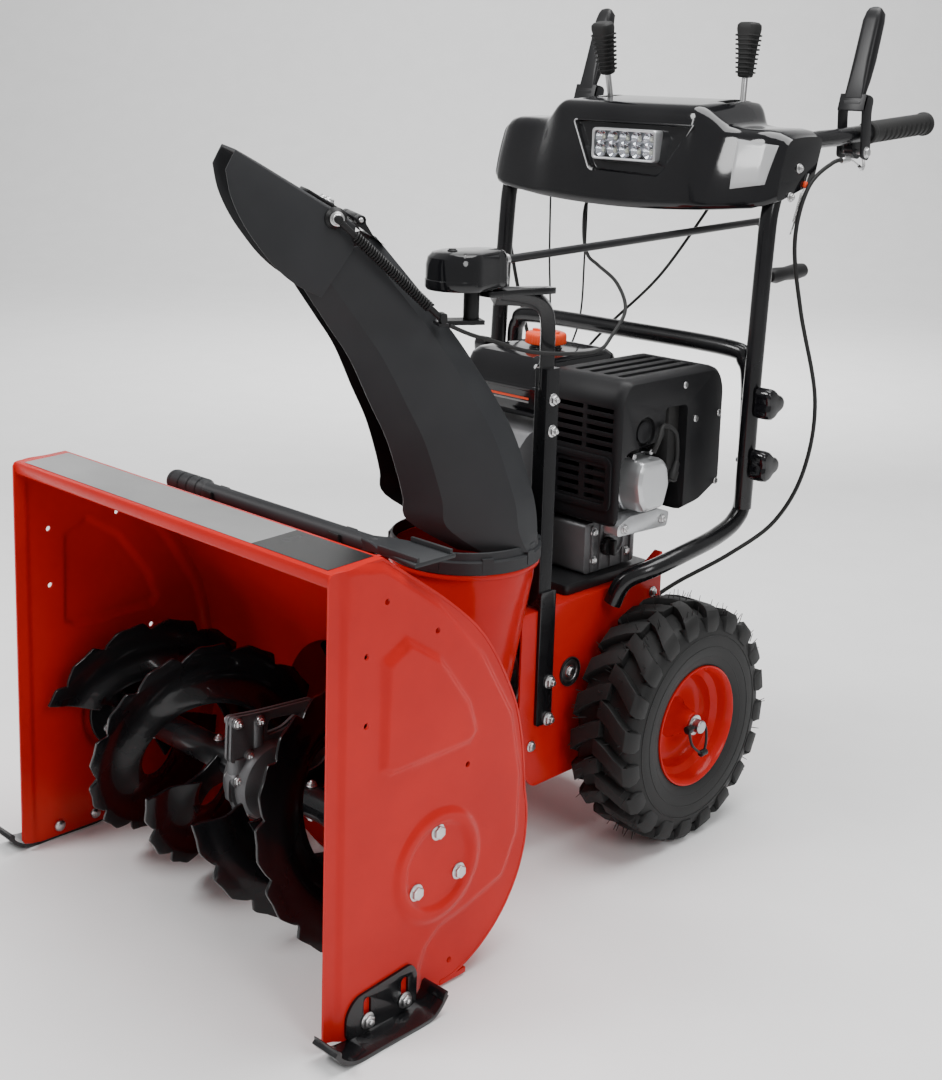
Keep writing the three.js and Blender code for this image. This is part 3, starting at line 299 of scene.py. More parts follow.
def spline(points, steps):
    """A smooth curve through the points, with that many steps in each span."""
    pts = [Vector(p) for p in points]
    out = []
    for i in range(len(pts) - 1):
        p0, p1, p2, p3 = pts[max(i - 1, 0)], pts[i], pts[i + 1], pts[min(i + 2, len(pts) - 1)]
        for k in range(steps):
            t = k / steps
            out.append(0.5 * (2 * p1 + (p2 - p0) * t + (2 * p0 - 5 * p1 + 4 * p2 - p3) * t * t
                              + (3 * p1 - p0 - 3 * p2 + p3) * t ** 3))
    out.append(pts[-1])
    return out


def sweep(path, section, scale=None):
    """A section of (u, v) pairs carried along a path without twisting."""
    path = [Vector(p) for p in path]
    rings = []
    side = None
    for i, p in enumerate(path):
        ahead = (path[min(i + 1, len(path) - 1)] - path[max(i - 1, 0)]).normalized()
        if side is None:
            side = ahead.orthogonal().normalized()
        side = (side - ahead * side.dot(ahead)).normalized()
        other = ahead.cross(side)
        grow = scale(i / (len(path) - 1)) if scale else 1
        rings.append([p + (side * u + other * v) * grow for u, v in section])
    return loft(rings)


def tube(points, radius, steps=6, sides=20, smooth=True):
    """A round section carried along the points, or along a smooth curve through them."""
    path = spline(points, steps) if smooth else points
    return sweep(path, circle((0, 0), radius, sides))


def coil(low, high, radius, wire, turns, per_turn=12, sides=6):
    """A spring wound around the line from low to high, with so many points in each turn."""
    ahead = (high - low).normalized()
    side = ahead.orthogonal().normalized()
    other = ahead.cross(side)
    path = []
    for i in range(turns * per_turn + 1):
        angle = math.tau * i / per_turn
        out = (side * math.cos(angle) + other * math.sin(angle)) * radius
        path.append(low.lerp(high, i / (turns * per_turn)) + out)
    return sweep(path, circle((0, 0), wire, sides))


def shell(outer, inner):
    """The closed solid between two grids of points."""
    rows, count = len(outer), len(outer[0])
    verts = [Vector(p) for row in outer for p in row] + [Vector(p) for row in inner for p in row]
    back = rows * count
    faces = []
    for i in range(rows - 1):
        for j in range(count - 1):
            a, b, c, d = i * count + j, i * count + j + 1, (i + 1) * count + j + 1, (i + 1) * count + j
            faces.append((a, b, c, d))
            faces.append((back + d, back + c, back + b, back + a))
    for i in range(rows - 1):
        for j in (0, count - 1):
            a, b = i * count + j, (i + 1) * count + j
            faces.append((a, b, back + b, back + a) if j == 0 else (b, a, back + a, back + b))
    for j in range(count - 1):
        for i in (0, rows - 1):
            a, b = i * count + j, i * count + j + 1
            faces.append((b, a, back + a, back + b) if i == 0 else (a, b, back + b, back + a))
    return verts, faces


def changed(shape, matrix):
    verts, faces = shape
    faces = faces if matrix.determinant() > 0 else [tuple(reversed(f)) for f in faces]
    return [matrix @ Vector(v) for v in verts], faces


def moved(shape, x, y, z):
    return changed(shape, Matrix.Translation((x, y, z)))


def turned(shape, axis, angle, about=(0, 0, 0)):
    there = Matrix.Translation(about)
    return changed(shape, there @ Matrix.Rotation(angle, 4, axis) @ there.inverted())


def sided(shape, side):
    """A left-hand shape, mirrored when the side is RIGHT."""
    return shape if side == LEFT else changed(shape, Matrix.Scale(-1, 4, (1, 0, 0)))


def aimed(shape, at, direction):
    """A shape made along +Z from the origin, moved to a place and pointed in a direction."""
    turn = Vector((0, 0, 1)).rotation_difference(Vector(direction)).to_matrix().to_4x4()
    return changed(shape, Matrix.Translation(at) @ turn)


def rounded(outline, radius, steps=5):
    """An outline of pairs with its corners rounded."""
    out = []
    count = len(outline)
    for i, p in enumerate(outline):
        p = Vector(p)
        before = (Vector(outline[i - 1]) - p)
        after = (Vector(outline[(i + 1) % count]) - p)
        reach = min(radius, before.length * 0.45, after.length * 0.45)
        start = p + before.normalized() * reach
        end = p + after.normalized() * reach
        for k in range(steps + 1):
            t = k / steps
            out.append(tuple((1 - t) ** 2 * start + 2 * t * (1 - t) * p + t * t * end))
    return out


def rect(a0, a1, b0, b1, radius=0, steps=5):
    """A rectangle's outline, rounded when it has a radius."""
    corners = [(a0, b0), (a1, b0), (a1, b1), (a0, b1)]
    return rounded(corners, radius, steps) if radius else corners


def stack(axis, outline, centre, levels):
    """An outline lofted along an axis through levels of (place, scale about the centre)."""
    return loft([
        [on_axis(axis, *(c + (v - c) * scale for v, c in zip(pair, centre)), place) for pair in outline]
        for place, scale in levels
    ])


# ---- pieces ----
class Piece:
    """Shapes joined into one object that rides on a body and may stand for CAD nodes.

    A piece of the right-hand side is made from the left-hand shapes and mirrored.
    """

    def __init__(self, name, body, slot, *nodes, side=LEFT):
        self.name, self.body, self.slot, self.nodes, self.side = name, body, slot, nodes, side
        self.verts, self.faces, self.looks, self.materials = [], [], [], []

    def add(self, material, *shapes):
        """Takes up left-hand shapes, in one material."""
        if material not in self.materials:
            self.materials.append(material)
        look = self.materials.index(material)
        for verts, faces in (sided(shape, self.side) for shape in shapes):
            start = len(self.verts)
            self.verts += [metres(v) for v in verts]
            self.faces += [tuple(start + i for i in f) for f in faces]
            self.looks += [look] * len(faces)

    def build(self, bevel=0.0, angle=32, cutters=(), segments=2, across=None):
        """across: when given, the piece is baked in place and attached to no body; the two bodies and hold
        points it names are not used.
        """
        mesh = bpy.data.meshes.new(self.name)
        mesh.from_pydata(self.verts, [], self.faces)
        mesh.update()
        for material in self.materials:
            mesh.materials.append(material)
        mesh.polygons.foreach_set("material_index", self.looks)
        thing = bpy.data.objects.new(self.name, mesh)
        bpy.context.scene.collection.objects.link(thing)
        close_up(mesh)
        if cutters:
            cut_away(thing, [sided(cutter, self.side) for cutter in cutters])
        if bevel:
            soften(thing, bevel, segments)
        shade(thing.data, math.radians(angle))
        if across:
            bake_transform(thing)
        else:
            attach(thing, self.body)
        if self.nodes:
            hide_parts(*self.nodes)
        return thing


def close_up(mesh):
    """Joins the seams of each shape and turns its faces outward."""
    made = bmesh.new()
    made.from_mesh(mesh)
    bmesh.ops.remove_doubles(made, verts=made.verts, dist=2e-6)
    bmesh.ops.recalc_face_normals(made, faces=made.faces)
    made.to_mesh(mesh)
    made.free()


def apply_modifiers(thing):
    settled = thing.evaluated_get(bpy.context.evaluated_depsgraph_get())
    mesh = bpy.data.meshes.new_from_object(settled)
    thing.modifiers.clear()
    old = thing.data
    thing.data = mesh
    bpy.data.meshes.remove(old)


def cut_away(thing, cutters):
    mesh = bpy.data.meshes.new("cutters")
    verts, faces = [], []
    for shape_verts, shape_faces in cutters:
        start = len(verts)
        verts += [metres(v) for v in shape_verts]
        faces += [tuple(start + i for i in f) for f in shape_faces]
    mesh.from_pydata(verts, [], faces)
    close_up(mesh)
    tool = bpy.data.objects.new("cutters", mesh)
    bpy.context.scene.collection.objects.link(tool)
    modifier = thing.modifiers.new("cut", "BOOLEAN")
    modifier.operation = "DIFFERENCE"
    modifier.solver = "EXACT"
    modifier.use_self = True
    modifier.object = tool
    apply_modifiers(thing)
    bpy.data.objects.remove(tool)
    bpy.data.meshes.remove(mesh)


def soften(thing, width, segments):
    modifier = thing.modifiers.new("bevel", "BEVEL")
    modifier.width = width * MM
    modifier.segments = segments
    modifier.limit_method = "ANGLE"
    modifier.angle_limit = math.radians(35)
    modifier.use_clamp_overlap = True
    apply_modifiers(thing)


def shade(mesh, angle):
    """Smooth faces, with the edges that turn more than the angle kept sharp."""
    made = bmesh.new()
    made.from_mesh(mesh)
    for face in made.faces:
        face.smooth = True
    for edge in made.edges:
        edge.smooth = len(edge.link_faces) == 2 and edge.calc_face_angle(4) < angle
    made.to_mesh(mesh)
    made.free()


def hexagon(radius):
    return circle((0, 0), radius, 6)


def bolt(at, direction, radius=8, height=6, stud=0.0):
    """A hexagon head on a washer, with a stud's end when it is a nut."""
    washer = lathe("z", (0, 0), [(radius * 1.25, 0), (radius * 1.25, 1.4), (radius * 1.1, 1.8)], 28)
    head = loft([
        [(x, y, 1.6) for x, y in hexagon(radius)],
        [(x, y, height - 1) for x, y in hexagon(radius)],
        [(x, y, height) for x, y in hexagon(radius * 0.86)],
    ])
    shapes = [washer, head]
    if stud:
        end = height + stud
        shapes.append(rod("z", (0, 0), height - 1, end, radius * 0.5, 16, 0.9))
    return [aimed(shape, at, direction) for shape in shapes]


# ---- auger housing ----
def back_edge(from_angle, steps=30):
    heel = math.radians(15)
    arc = []
    for i in range(steps + 1):
        angle = from_angle + (heel - from_angle) * i / steps
        arc.append(polar(AUGER, HOUSING_R, angle))
    upper = spline([arc[-1], (306, 270), (287, 331), (238, 411), (174, 469), SHELF_END], 9)
    return arc + [tuple(v) for v in upper[1:]]


def offset_line(points, distance):
    """An open line of pairs moved to the right of its direction of travel."""
    out = []
    for i, p in enumerate(points):
        a = Vector(points[max(i - 1, 0)])
        b = Vector(points[min(i + 1, len(points) - 1)])
        ahead = (b - a).normalized()
        out.append((p[0] + ahead.y * distance, p[1] - ahead.x * distance))
    return out


def housing_wrap():
    lip = [(4, SHELF_Z - 16), (2.2, SHELF_Z - 13), (2, SHELF_Z - 4), (3.2, SHELF_Z - 1), (6, SHELF_Z)]
    outer = lip + list(reversed(back_edge(math.radians(-80))))
    inner = offset_line(outer, SHEET)
    half = HALF_WIDTH - SHEET - 0.4
    piece = Piece("housing_sheet", "frame", "red_paint", "housing_wrap")
    mouth = rod("y", (AUGER[1], 0), 180, 345, 142, 96)
    piece.add(RED, prism("x", outer + inner[::-1], -half, half))
    piece.add(RED, box((-half, half), (178, 220), (3.2, 9.5)))
    piece.build(0.5, cutters=[mouth])
    under = [(9, SHELF_Z + 0.35), (30, SHELF_Z + 1.05), (52, SHELF_Z + 1.95), (72, SHELF_Z + 2.9)]
    over = [(y, z + 0.4) for y, z in under]
    label = Piece("shelf_label", "frame", "gloss_black_plastic")
    label.add(LABEL, prism("x", over + under[::-1], -290, 168))
    label.add(LABEL_DARK, prism("x", over + under[::-1], 168.3, 292))
    label.build(0)
    tool_clips()


def tool_clips():
    """The two open clips on the shelf that hold the clean-out tool."""
    clips = Piece("tool_clips", "frame", "matte_black_plastic")
    y, z = TOOL
    jaw = [p for p in circle(TOOL, 16, 32, math.radians(125)) if p[1] < z + 7]
    bore = [(y + (p[0] - y) * 0.72, z + (p[1] - z) * 0.72) for p in jaw]
    outer, inner = (sorted(line, key=lambda p: math.atan2(p[0] - y, z - p[1])) for line in (jaw, bore))
    foot = rounded([(128, 486), (156, 481), (152, 506), (132, 506)], 3)
    for x in (-70, 165):
        clips.add(PLASTIC, prism("x", foot, x - 9, x + 9))
        clips.add(PLASTIC, prism("x", outer + inner[::-1], x - 9, x + 9))
    clips.build(0.6)


def smooth_step(value, low, high):
    t = min(max((value - low) / (high - low), 0), 1)
    return t * t * (3 - 2 * t)


def inside_depth(point, polygon):
    """Distance from a convex polygon's edges, positive inside it."""
    best = 1e9
    for i, a in enumerate(polygon):
        b = polygon[(i + 1) % len(polygon)]
        edge = Vector(b) - Vector(a)
        to = Vector(point) - Vector(a)
        best = min(best, (edge.x * to.y - edge.y * to.x) / edge.length)
    return best


UPPER_PRESSING = [(86, 292), (210, 293), (222, 307), (208, 346), (159, 411), (108, 444), (72, 425),
                  (70, 302)]
REAR_RIDGE = [
    (20, 538), (74, 529), (157, 470), (230, 393), (283, 307), (300, 229), (298, 155), (275, 107), (219, 91),
    (172, 82),
    (149, 64), (140, 40), (138, 0),
]
PANEL_HOLES = [(78, 490), (154, 440), (50, 436), (51, 359), (208, 268), (192, 30)]


def beyond_line(point, line):
    """Distance from a line of pairs, positive on its outer side."""
    best = 1e9
    sign = 1
    point = Vector(point)
    for a, b in zip(line, line[1:]):
        a = Vector(a)
        run = Vector(b) - a
        t = min(max((point - a).dot(run) / run.length_squared, 0), 1)
        away = point - a - run * t
        if away.length < best:
            best = away.length
            sign = 1 if run.x * away.y - run.y * away.x > 0 else -1
    return best * sign


def panel_relief(y, z):
    """How far the side panel is pressed outward at a point."""
    lip = smooth_step(y, 14, 24)
    inner = 1 - smooth_step(beyond_line((y, z), REAR_RIDGE), -5, 5)
    rise = 5.5 * inner * lip + 2 * (1 - lip)
    bearing = math.hypot(y - AUGER[0], z - AUGER[1])
    rise += 4.5 * smooth_step(-bearing, -70, -60) - 4.5 * smooth_step(-bearing, -54, -45)
    depth = inside_depth((y, z), UPPER_PRESSING)
    return rise + 6 * smooth_step(depth, -1, 9)


def side_panel(side, name):
    outline = [(0, 16), (3, 11), (28, 4)] + back_edge(math.radians(-90), 60)
    outline += [(60, 536), (30, 535), (4, SHELF_Z), (0, SHELF_Z - 4)]
    outline = resampled(outline, 260)
    centre = Vector((140, 250))
    rings = 64
    outer, inner = [], []
    for i in range(rings + 1):
        t = i / rings
        points = [centre + (Vector(p) - centre) * max(t, 0.002) for p in outline]
        raised = [panel_relief(p.x, p.y) for p in points]
        outer.append([(HALF_WIDTH + r - 4, p.x, p.y) for p, r in zip(points, raised)])
        inner.append([(HALF_WIDTH + r - 4 - SHEET, p.x, p.y) for p, r in zip(points, raised)])
    skin_out = loft(outer, caps=False)
    skin_in = loft(inner[::-1], caps=False)
    rim = loft([outer[-1], inner[-1]], caps=False)
    piece = Piece("panel_" + name, "frame", "red_paint", "side_panel_" + name, side=side)
    piece.add(RED, skin_out, skin_in, rim)
    piece.build(angle=50, cutters=[rod("x", hole, 290, 330, 3.5, 20) for hole in PANEL_HOLES])
    heads = Piece("carriage_bolts_panel_" + name, "frame", "steel", side=side)
    for y, z in SHOE_BOLTS:
        dome = lathe("z", (0, 0), [(8, 0), (7.4, 1.6), (5, 3.2), (1.6, 4)], 28)
        heads.add(ZINC, aimed(dome, (HALF_WIDTH - SHEET - 0.3, y, z), (-1, 0, 0)))
    heads.build()


def resampled(outline, count):
    """Points at equal steps along a closed outline."""
    points = [Vector(p) for p in outline]
    points.append(points[0])
    lengths = [0.0]
    for a, b in zip(points, points[1:]):
        lengths.append(lengths[-1] + (b - a).length)
    out = []
    spot = 0
    for i in range(count):
        want = lengths[-1] * i / count
        while lengths[spot + 1] < want:
            spot += 1
        t = (want - lengths[spot]) / (lengths[spot + 1] - lengths[spot])
        out.append(points[spot].lerp(points[spot + 1], t))
    return out


def auger_bearing(side, name):
    piece = Piece("bearing_" + name, "frame", "steel", "auger_bearing_" + name, side=side)
    inside = HALF_WIDTH - SHEET - 0.5
    cup = [(58, inside - 3), (57, inside - 4.5), (30, inside - 5), (25, inside - 8), (24, inside - 20),
           (13.4, inside - 20)]
    cup += [(13.4, inside - 6), (14, inside - 0.2), (58, inside - 0.2)]
    piece.add(SATIN, washer_ring("x", AUGER, cup))
    for y, z in BEARING_BOLTS:
        x = HALF_WIDTH + panel_relief(y, z) - 4
        piece.add(ZINC, *bolt((x, y, z), (1, 0, 0), 8, 6.5))
        piece.add(ZINC, rod("x", (y, z), inside - 8, inside, 6, 20))
    piece.build(0.3)


def skid_shoe(side, name):
    near = HALF_WIDTH + 0.4
    body = "skid_shoe_" + name
    piece = Piece("shoe_" + name, body, "black_paint", body, side=side)
    outline = rounded([(27, 4), (132, 4), (132, 46), (124, 57), (40, 50), (27, 34)], 9)
    plate = prism("x", outline, near, near + 4.6)
    path = spline([(-16, 24), (-4, 11), (16, 2.6), (60, 2.5), (118, 2.5), (136, 9), (149, 23)], 8)
    line = [tuple(p) for p in path]
    low, high = offset_line(line, 2.4), offset_line(line, -2.6)
    flare = prism("x", low + high[::-1], near, HALF_WIDTH + 37.6)
    curl = [(148, 20), (150, 28), (145, 27), (141, 18)]
    toe = [(-14, 22), (-9, 17), (-8, 24), (-15, 30)]
    ends = [prism("x", rounded(c, 2), near, HALF_WIDTH + 37.6) for c in (curl, toe)]
    slots = []
    for y, z in SHOE_BOLTS:
        slot = [(y + a, z + b) for a, b in circle((0, 0), 5.4, 24) if b <= 0]
        top = [(y + a, z + 22 + b) for a, b in circle((0, 0), 5.4, 24) if b >= 0]
        ring = sorted(top, key=lambda p: -p[0]) + sorted(slot, key=lambda p: p[0])
        slots.append(prism("x", ring, near - 2, near + 6))
    piece.add(BLACK, plate, flare, *ends)
    piece.build(0.9, cutters=slots)
    nuts = Piece("shoe_nuts_" + name, "frame", "steel", side=side)
    for y, z in SHOE_BOLTS:
        nuts.add(ZINC, *bolt((near + 4.9, y, z), (1, 0, 0), 7.6, 6, 3))
    nuts.build(0.3)


add_camera()
housing_wrap()
for side, name in SIDES:
    side_panel(side, name)
    auger_bearing(side, name)
    skid_shoe(side, name)


# ---- augers, gearcase, impeller and drum ----
FLIGHT_X = (48, 280)
FLIGHT_R = (66, 145)
FLIGHT_TURNS = 0.95
TEETH = 13


def tooth(turn):
    """Radius of the serrated edge: a chord, a cut-back corner, then a hooked notch."""
    place = (turn * TEETH) % 1.0
    top = FLIGHT_R[1] - 1
    if place < 0.5:
        return top - 2 * (1 - abs(place - 0.25) * 4)
    if place < 0.8:
        return top - 9 * (place - 0.5) / 0.3
    if place < 0.86:
        return top - 9 - 4 * (place - 0.8) / 0.06
    return top - 13 + 13 * (place - 0.86) / 0.14


def flight(phase):
    steps = 230
    outer, inner = [], []
    for i in range(steps + 1):
        t = i / steps
        angle = phase + FLIGHT_TURNS * math.tau * t
        x = FLIGHT_X[0] + (FLIGHT_X[1] - FLIGHT_X[0]) * t
        tip = tooth(FLIGHT_TURNS * t)
        row_out, row_in = [], []
        for k in range(11):
            q = k / 10
            radius = FLIGHT_R[0] + 63 * q / 0.9 if k < 10 else tip
            dish = 13 * smooth_step(q, 0, 0.5) - 7 * smooth_step(q, 0.55, 1) - 6
            at = (x + dish, *polar(AUGER, radius, angle))
            row_out.append(at)
            row_in.append((at[0] - 4.2, at[1], at[2]))
        outer.append(row_out)
        inner.append(row_in)
    return shell(outer, inner)


def flight_arm(x, angle):
    """A formed arm that widens where it meets the ribbon."""
    rings = []
    for k in range(11):
        q = k / 10
        radius = 14 + (FLIGHT_R[0] + 8 - 14) * q
        half = 15 + 12 * abs(q - 0.45) ** 1.5 * 2
        bend = 5 * math.sin(math.pi * q)
        rings.append([(x + w + bend, u, radius) for u, w in rect(-half, half, -2.4, 2.4)])
    turn = Matrix.Rotation(angle - math.pi / 2, 4, "X")
    return changed(loft(rings), Matrix.Translation((0, *AUGER)) @ turn)


def auger(side, name):
    piece = Piece("auger_ribbons_" + name, "augers", "black_paint", "auger_" + name, side=side)
    piece.add(BLACK, rod("x", AUGER, FLIGHT_X[0] - 4, FLIGHT_X[1] + 2, 20, 40))
    for phase in (0, math.pi):
        piece.add(BLACK, flight(phase))
        for t in (0.08, 0.92):
            x = FLIGHT_X[0] + (FLIGHT_X[1] - FLIGHT_X[0]) * t
            piece.add(BLACK, flight_arm(x, phase + FLIGHT_TURNS * math.tau * t))
    piece.build(0.7, angle=46)
    pins = Piece("shear_pins_" + name, "augers", "steel", side=side)
    for x in (92, 236):
        for end in (1, -1):
            pins.add(ZINC, *bolt((x, AUGER[0], AUGER[1] + end * 19.6), (0, 0, end), 5.5, 5, 2))
    pins.build(0.2)


def gearcase():
    piece = Piece("gearbox", "frame", "cast_iron", "gearcase")
    y, z = AUGER
    profile = [(16, -42), (25, -41), (26, -30), (34, -27), (47, -22), (50, -14), (50, -5), (54, -4.6),
               (54, 4.6)]
    profile += [(50, 5), (50, 14), (47, 22), (34, 27), (26, 30), (25, 41), (16, 42)]
    piece.add(CAST, lathe("x", AUGER, profile, 72))
    snout = [(34, y + 20), (33, 225), (27, 236), (25, 262), (27, 276), (27, 288), (24, 296), (12, 299)]
    piece.add(CAST, lathe("y", (z, 0), snout, 56))
    ear = rect(y - 58, y + 6, z - 17, z + 17, 10)
    piece.add(CAST, prism("x", ear, -4, 4))
    for angle in (0.2, 0.9, 2.2, 2.9, 3.9, 5.4):
        at = polar(AUGER, 49, angle)
        piece.add(CAST, rod("x", at, -9, 9, 8, 24))
        piece.add(ZINC, *bolt((8.6, *at), (1, 0, 0), 5.2, 5, 2))
        piece.add(ZINC, *bolt((-8.6, *at), (-1, 0, 0), 5.2, 5, 0))
    brace = rounded([(106, 196), (180, 196), (208, 206), (244, 226), (244, 244), (158, 250), (108, 256)], 8)
    window = rounded([(162, 216), (194, 218), (222, 232), (166, 238)], 6)
    piece.add(CAST, prism("x", brace, -6, -2), prism("x", brace, 2, 6))
    for spot in ((116, 247), (150, 241), (236, 236)):
        piece.add(CAST, rod("x", spot, -9, 9, 7.5, 24))
        piece.add(ZINC, *bolt((9, *spot), (1, 0, 0), 5.2, 5, 3), *bolt((-9, *spot), (-1, 0, 0), 5.2, 5, 0))
    piece.add(CAST, rod("z", (0, 150), 195, 243, 10, 28), rod("z", (-2, 122), 170, 200, 12, 28))
    piece.build(0.8, cutters=[prism("x", window, -20, 20)])


def impeller():
    piece = Piece("impeller_blades", "impeller_rotor", "black_paint", "impeller")
    hub = [(10.6, 334), (22, 334), (23, 336), (23, 456), (22, 458), (10.6, 458)]
    piece.add(BLACK, lathe("y", (AUGER[1], 0), hub))
    for i in range(4):
        outline = rect(15, 146, 342, 450, 6)
        blade = prism("x", [(p[1], p[0]) for p in outline], -2.5, 2.5)
        cup = box((-2, 20), (342, 450), (122, 127))
        rib = box((-2, 10), (394, 400), (22, 124))
        for shape in (blade, cup, rib):
            spun = turned(shape, "Y", math.radians(45 + 90 * i))
            piece.add(BLACK, moved(spun, 0, 0, AUGER[1]))
    piece.build(0.8)


def drum_and_neck():
    piece = Piece("drum_shell", "frame", "red_paint", "impeller_drum")
    back = 470
    profile = [(155, 292), (158, 292), (158, back - 4), (155, back), (14, back), (14, back - 3),
               (154, back - 4), (155, back - 8)]
    piece.add(RED, washer_ring("y", (AUGER[1], 0), profile, 96))
    rings_out, rings_in = [], []
    for z in (205, 260, 320, 380, 415, 436, 449.8):
        t = min((z - 161) / (415 - 161), 1)
        left = Vector((66, 393)).lerp(Vector(CHUTE), t)
        right = Vector((86, 393)).lerp(Vector(CHUTE), t)
        radius = 72 + (90 - 72) * t
        for rings, size in ((rings_out, radius), (rings_in, radius - 3)):
            ring = []
            for i in range(64):
                angle = math.tau * i / 64
                base = right if math.cos(angle) > 0 else left
                ring.append((base.x + size * math.cos(angle), base.y + size * math.sin(angle), z))
            rings.append(ring)
    piece.add(RED, loft(rings_out + rings_in[::-1], caps=False))
    flange = [(89, 430), (96, 430), (96.5, 431), (96.5, 435), (96, 436), (89, 436)]
    piece.add(RED, washer_ring("z", CHUTE, flange, 96))
    inside = prism("x", front_of_housing(), -HALF_WIDTH, HALF_WIDTH)
    piece.build(0, cutters=[inside])


def front_of_housing():
    edge = offset_line(back_edge(math.radians(-80)), 0.4)
    return [(0, -20), (edge[0][0], -20)] + edge + [(0, 600)]


def auger_shaft():
    piece = Piece("auger_axle", "augers", "steel", "auger_shaft")
    piece.add(STEEL, rod("x", AUGER, -296, 296, 12.4, 36, 1.6))
    piece.build(0.2)


for side, name in SIDES:
    auger(side, name)
auger_shaft()
gearcase()
impeller()
drum_and_neck()


# ---- chute, deflector and their control ----
def chute_point(s, w, z):
    """A place s ahead of the chute's axis, w across it, at the height z."""
    sin, cos = math.sin(CHUTE_YAW), math.cos(CHUTE_YAW)
    return Vector((CHUTE[0] - s * sin + w * cos, CHUTE[1] - s * cos - w * sin, z))


def in_chute(shape):
    """A shape made in (s, w, z), put in its place."""
    verts, faces = shape
    return [chute_point(v[0], v[1], v[2]) for v in verts], [tuple(reversed(f)) for f in faces]


CHUTE_ROWS = [
    (-80, 456, 26, 460, 78), (-80, 480, 90, 500, 81), (-75, 515, 97, 530, 81), (-64, 550, 104, 558, 79),
    (-46, 600, 118, 602, 76), (-22, 645, 138, 645, 70), (14, 700, 162, 698, 62), (38, 733, 186, 735, 57),
    (84, 788, 208, 768, 57), (130, 842, 232, 805, 57),
]
CHUTE_SECTION = [
    (1, -0.79), (0.87, -0.895), (0.74, -1), (0.47, -1), (0.2, -1), (0.1, -0.81), (0, -0.62), (0, 0),
    (0, 0.62), (0.1, 0.81), (0.2, 1), (0.47, 1), (0.74, 1), (0.87, 0.895), (1, 0.79),
]


def section_row(row, section):
    back, back_z, front, front_z, half = row
    return [
        chute_point(back + (front - back) * q, w * half, back_z + (front_z - back_z) * q)
        for q, w in section
    ]


def chute_shell():
    rows = [tuple(v) for v in spline_rows(CHUTE_ROWS, 5)]
    outer = [section_row(row, CHUTE_SECTION) for row in rows]
    smaller = []
    for row in rows:
        back, back_z, front, front_z, half = row
        smaller.append(section_row((back + 4, back_z, front, front_z, half - 4), CHUTE_SECTION))
    return shell(outer, smaller)


def spline_rows(rows, steps):
    """Rows of numbers blended smoothly, as spline() blends points."""
    out = []
    for i in range(len(rows) - 1):
        r0, r1, r2, r3 = rows[max(i - 1, 0)], rows[i], rows[i + 1], rows[min(i + 2, len(rows) - 1)]
        for k in range(steps):
            t = k / steps
            out.append([
                0.5 * (2 * b + (c - a) * t + (2 * a - 5 * b + 4 * c - d) * t * t
                       + (3 * b - a - 3 * c + d) * t ** 3)
                for a, b, c, d in zip(r0, r1, r2, r3)
            ])
    out.append(list(rows[-1]))
    return out


def chute_ring():
    """The turning collar: a stepped ring with tabs over the outlet's flange."""
    profile = [(91, 436.8), (97.4, 436.8), (98, 438), (98, 452), (97, 453.5), (94, 454), (93.5, 463),
               (92.5, 464), (91, 464)]
    shapes = [washer_ring("z", CHUTE, profile, 120)]
    for i in range(9):
        angle = math.tau * i / 9 + 0.2
        tab = box((92, 98.4), (-7, 7), (441, 457))
        shapes.append(moved(turned(tab, "Z", angle), CHUTE[0], CHUTE[1], 0))
    return shapes


def chute():
    piece = Piece("chute_shell", "chute", "matte_black_plastic", "chute")
    piece.add(CHARCOAL, chute_shell(), *chute_ring())
    for low in (-45, 29):
        outline = [(832, 120), (842, 134), (858, 144), (866, 146), (866, 154), (856, 154)]
        leaf = prism("y", outline, low, low + 16)
        piece.add(SATIN, in_chute(leaf), in_chute(rod("y", (HINGE[1], HINGE[0]), low, low + 16, 6, 28)))
    piece.add(ZINC, in_chute(rod("y", (HINGE[1], HINGE[0]), -46, 46, 3, 16)))
    piece.add(SATIN, in_chute(box((-14, 56), (-14, 14), (731, 736.5))))
    piece.add(PLASTIC, in_chute(rod("z", (0, 0), 730, 774.4, 10, 32)))
    clamp = prism("y", rect(740, 744, 50, 62, 1), 52, 80)
    saddle = prism("y", rect(744, 756, 52, 60, 3), 64, 80)
    piece.add(SATIN, in_chute(clamp), in_chute(saddle))
    piece.add(ZINC, *(in_chute(b) for b in bolt((56, 60, 744), (0, 0, 1), 4.6, 4.5, 2)))
    piece.build(0.7, angle=13)


HOOD_ROWS = [
    (160, 858, 163, 829), (176, 871, 199, 774), (205, 888, 229, 789), (230, 903, 252, 808),
    (252, 916, 271, 831), (274, 929, 290, 859), (290, 938, 304, 890), (299, 943, 310, 920),
]
HOOD_HALF = 62


def hood_row(row, inset):
    top, top_z, low, low_z = row
    out = []
    for q, side in ((1, -1), (0.7, -1), (0.35, -1), (0.03, -1), (0, -0.96), (0, -0.5), (0, 0.5), (0, 0.96),
                    (0.03, 1), (0.35, 1), (0.7, 1), (1, 1)):
        w = side * HOOD_HALF - math.copysign(min(inset, abs(side) * inset), side)
        drop = inset if q < 0.2 else 0
        out.append(chute_point(top + (low - top) * q, w, top_z + (low_z - top_z) * q - drop))
    return out


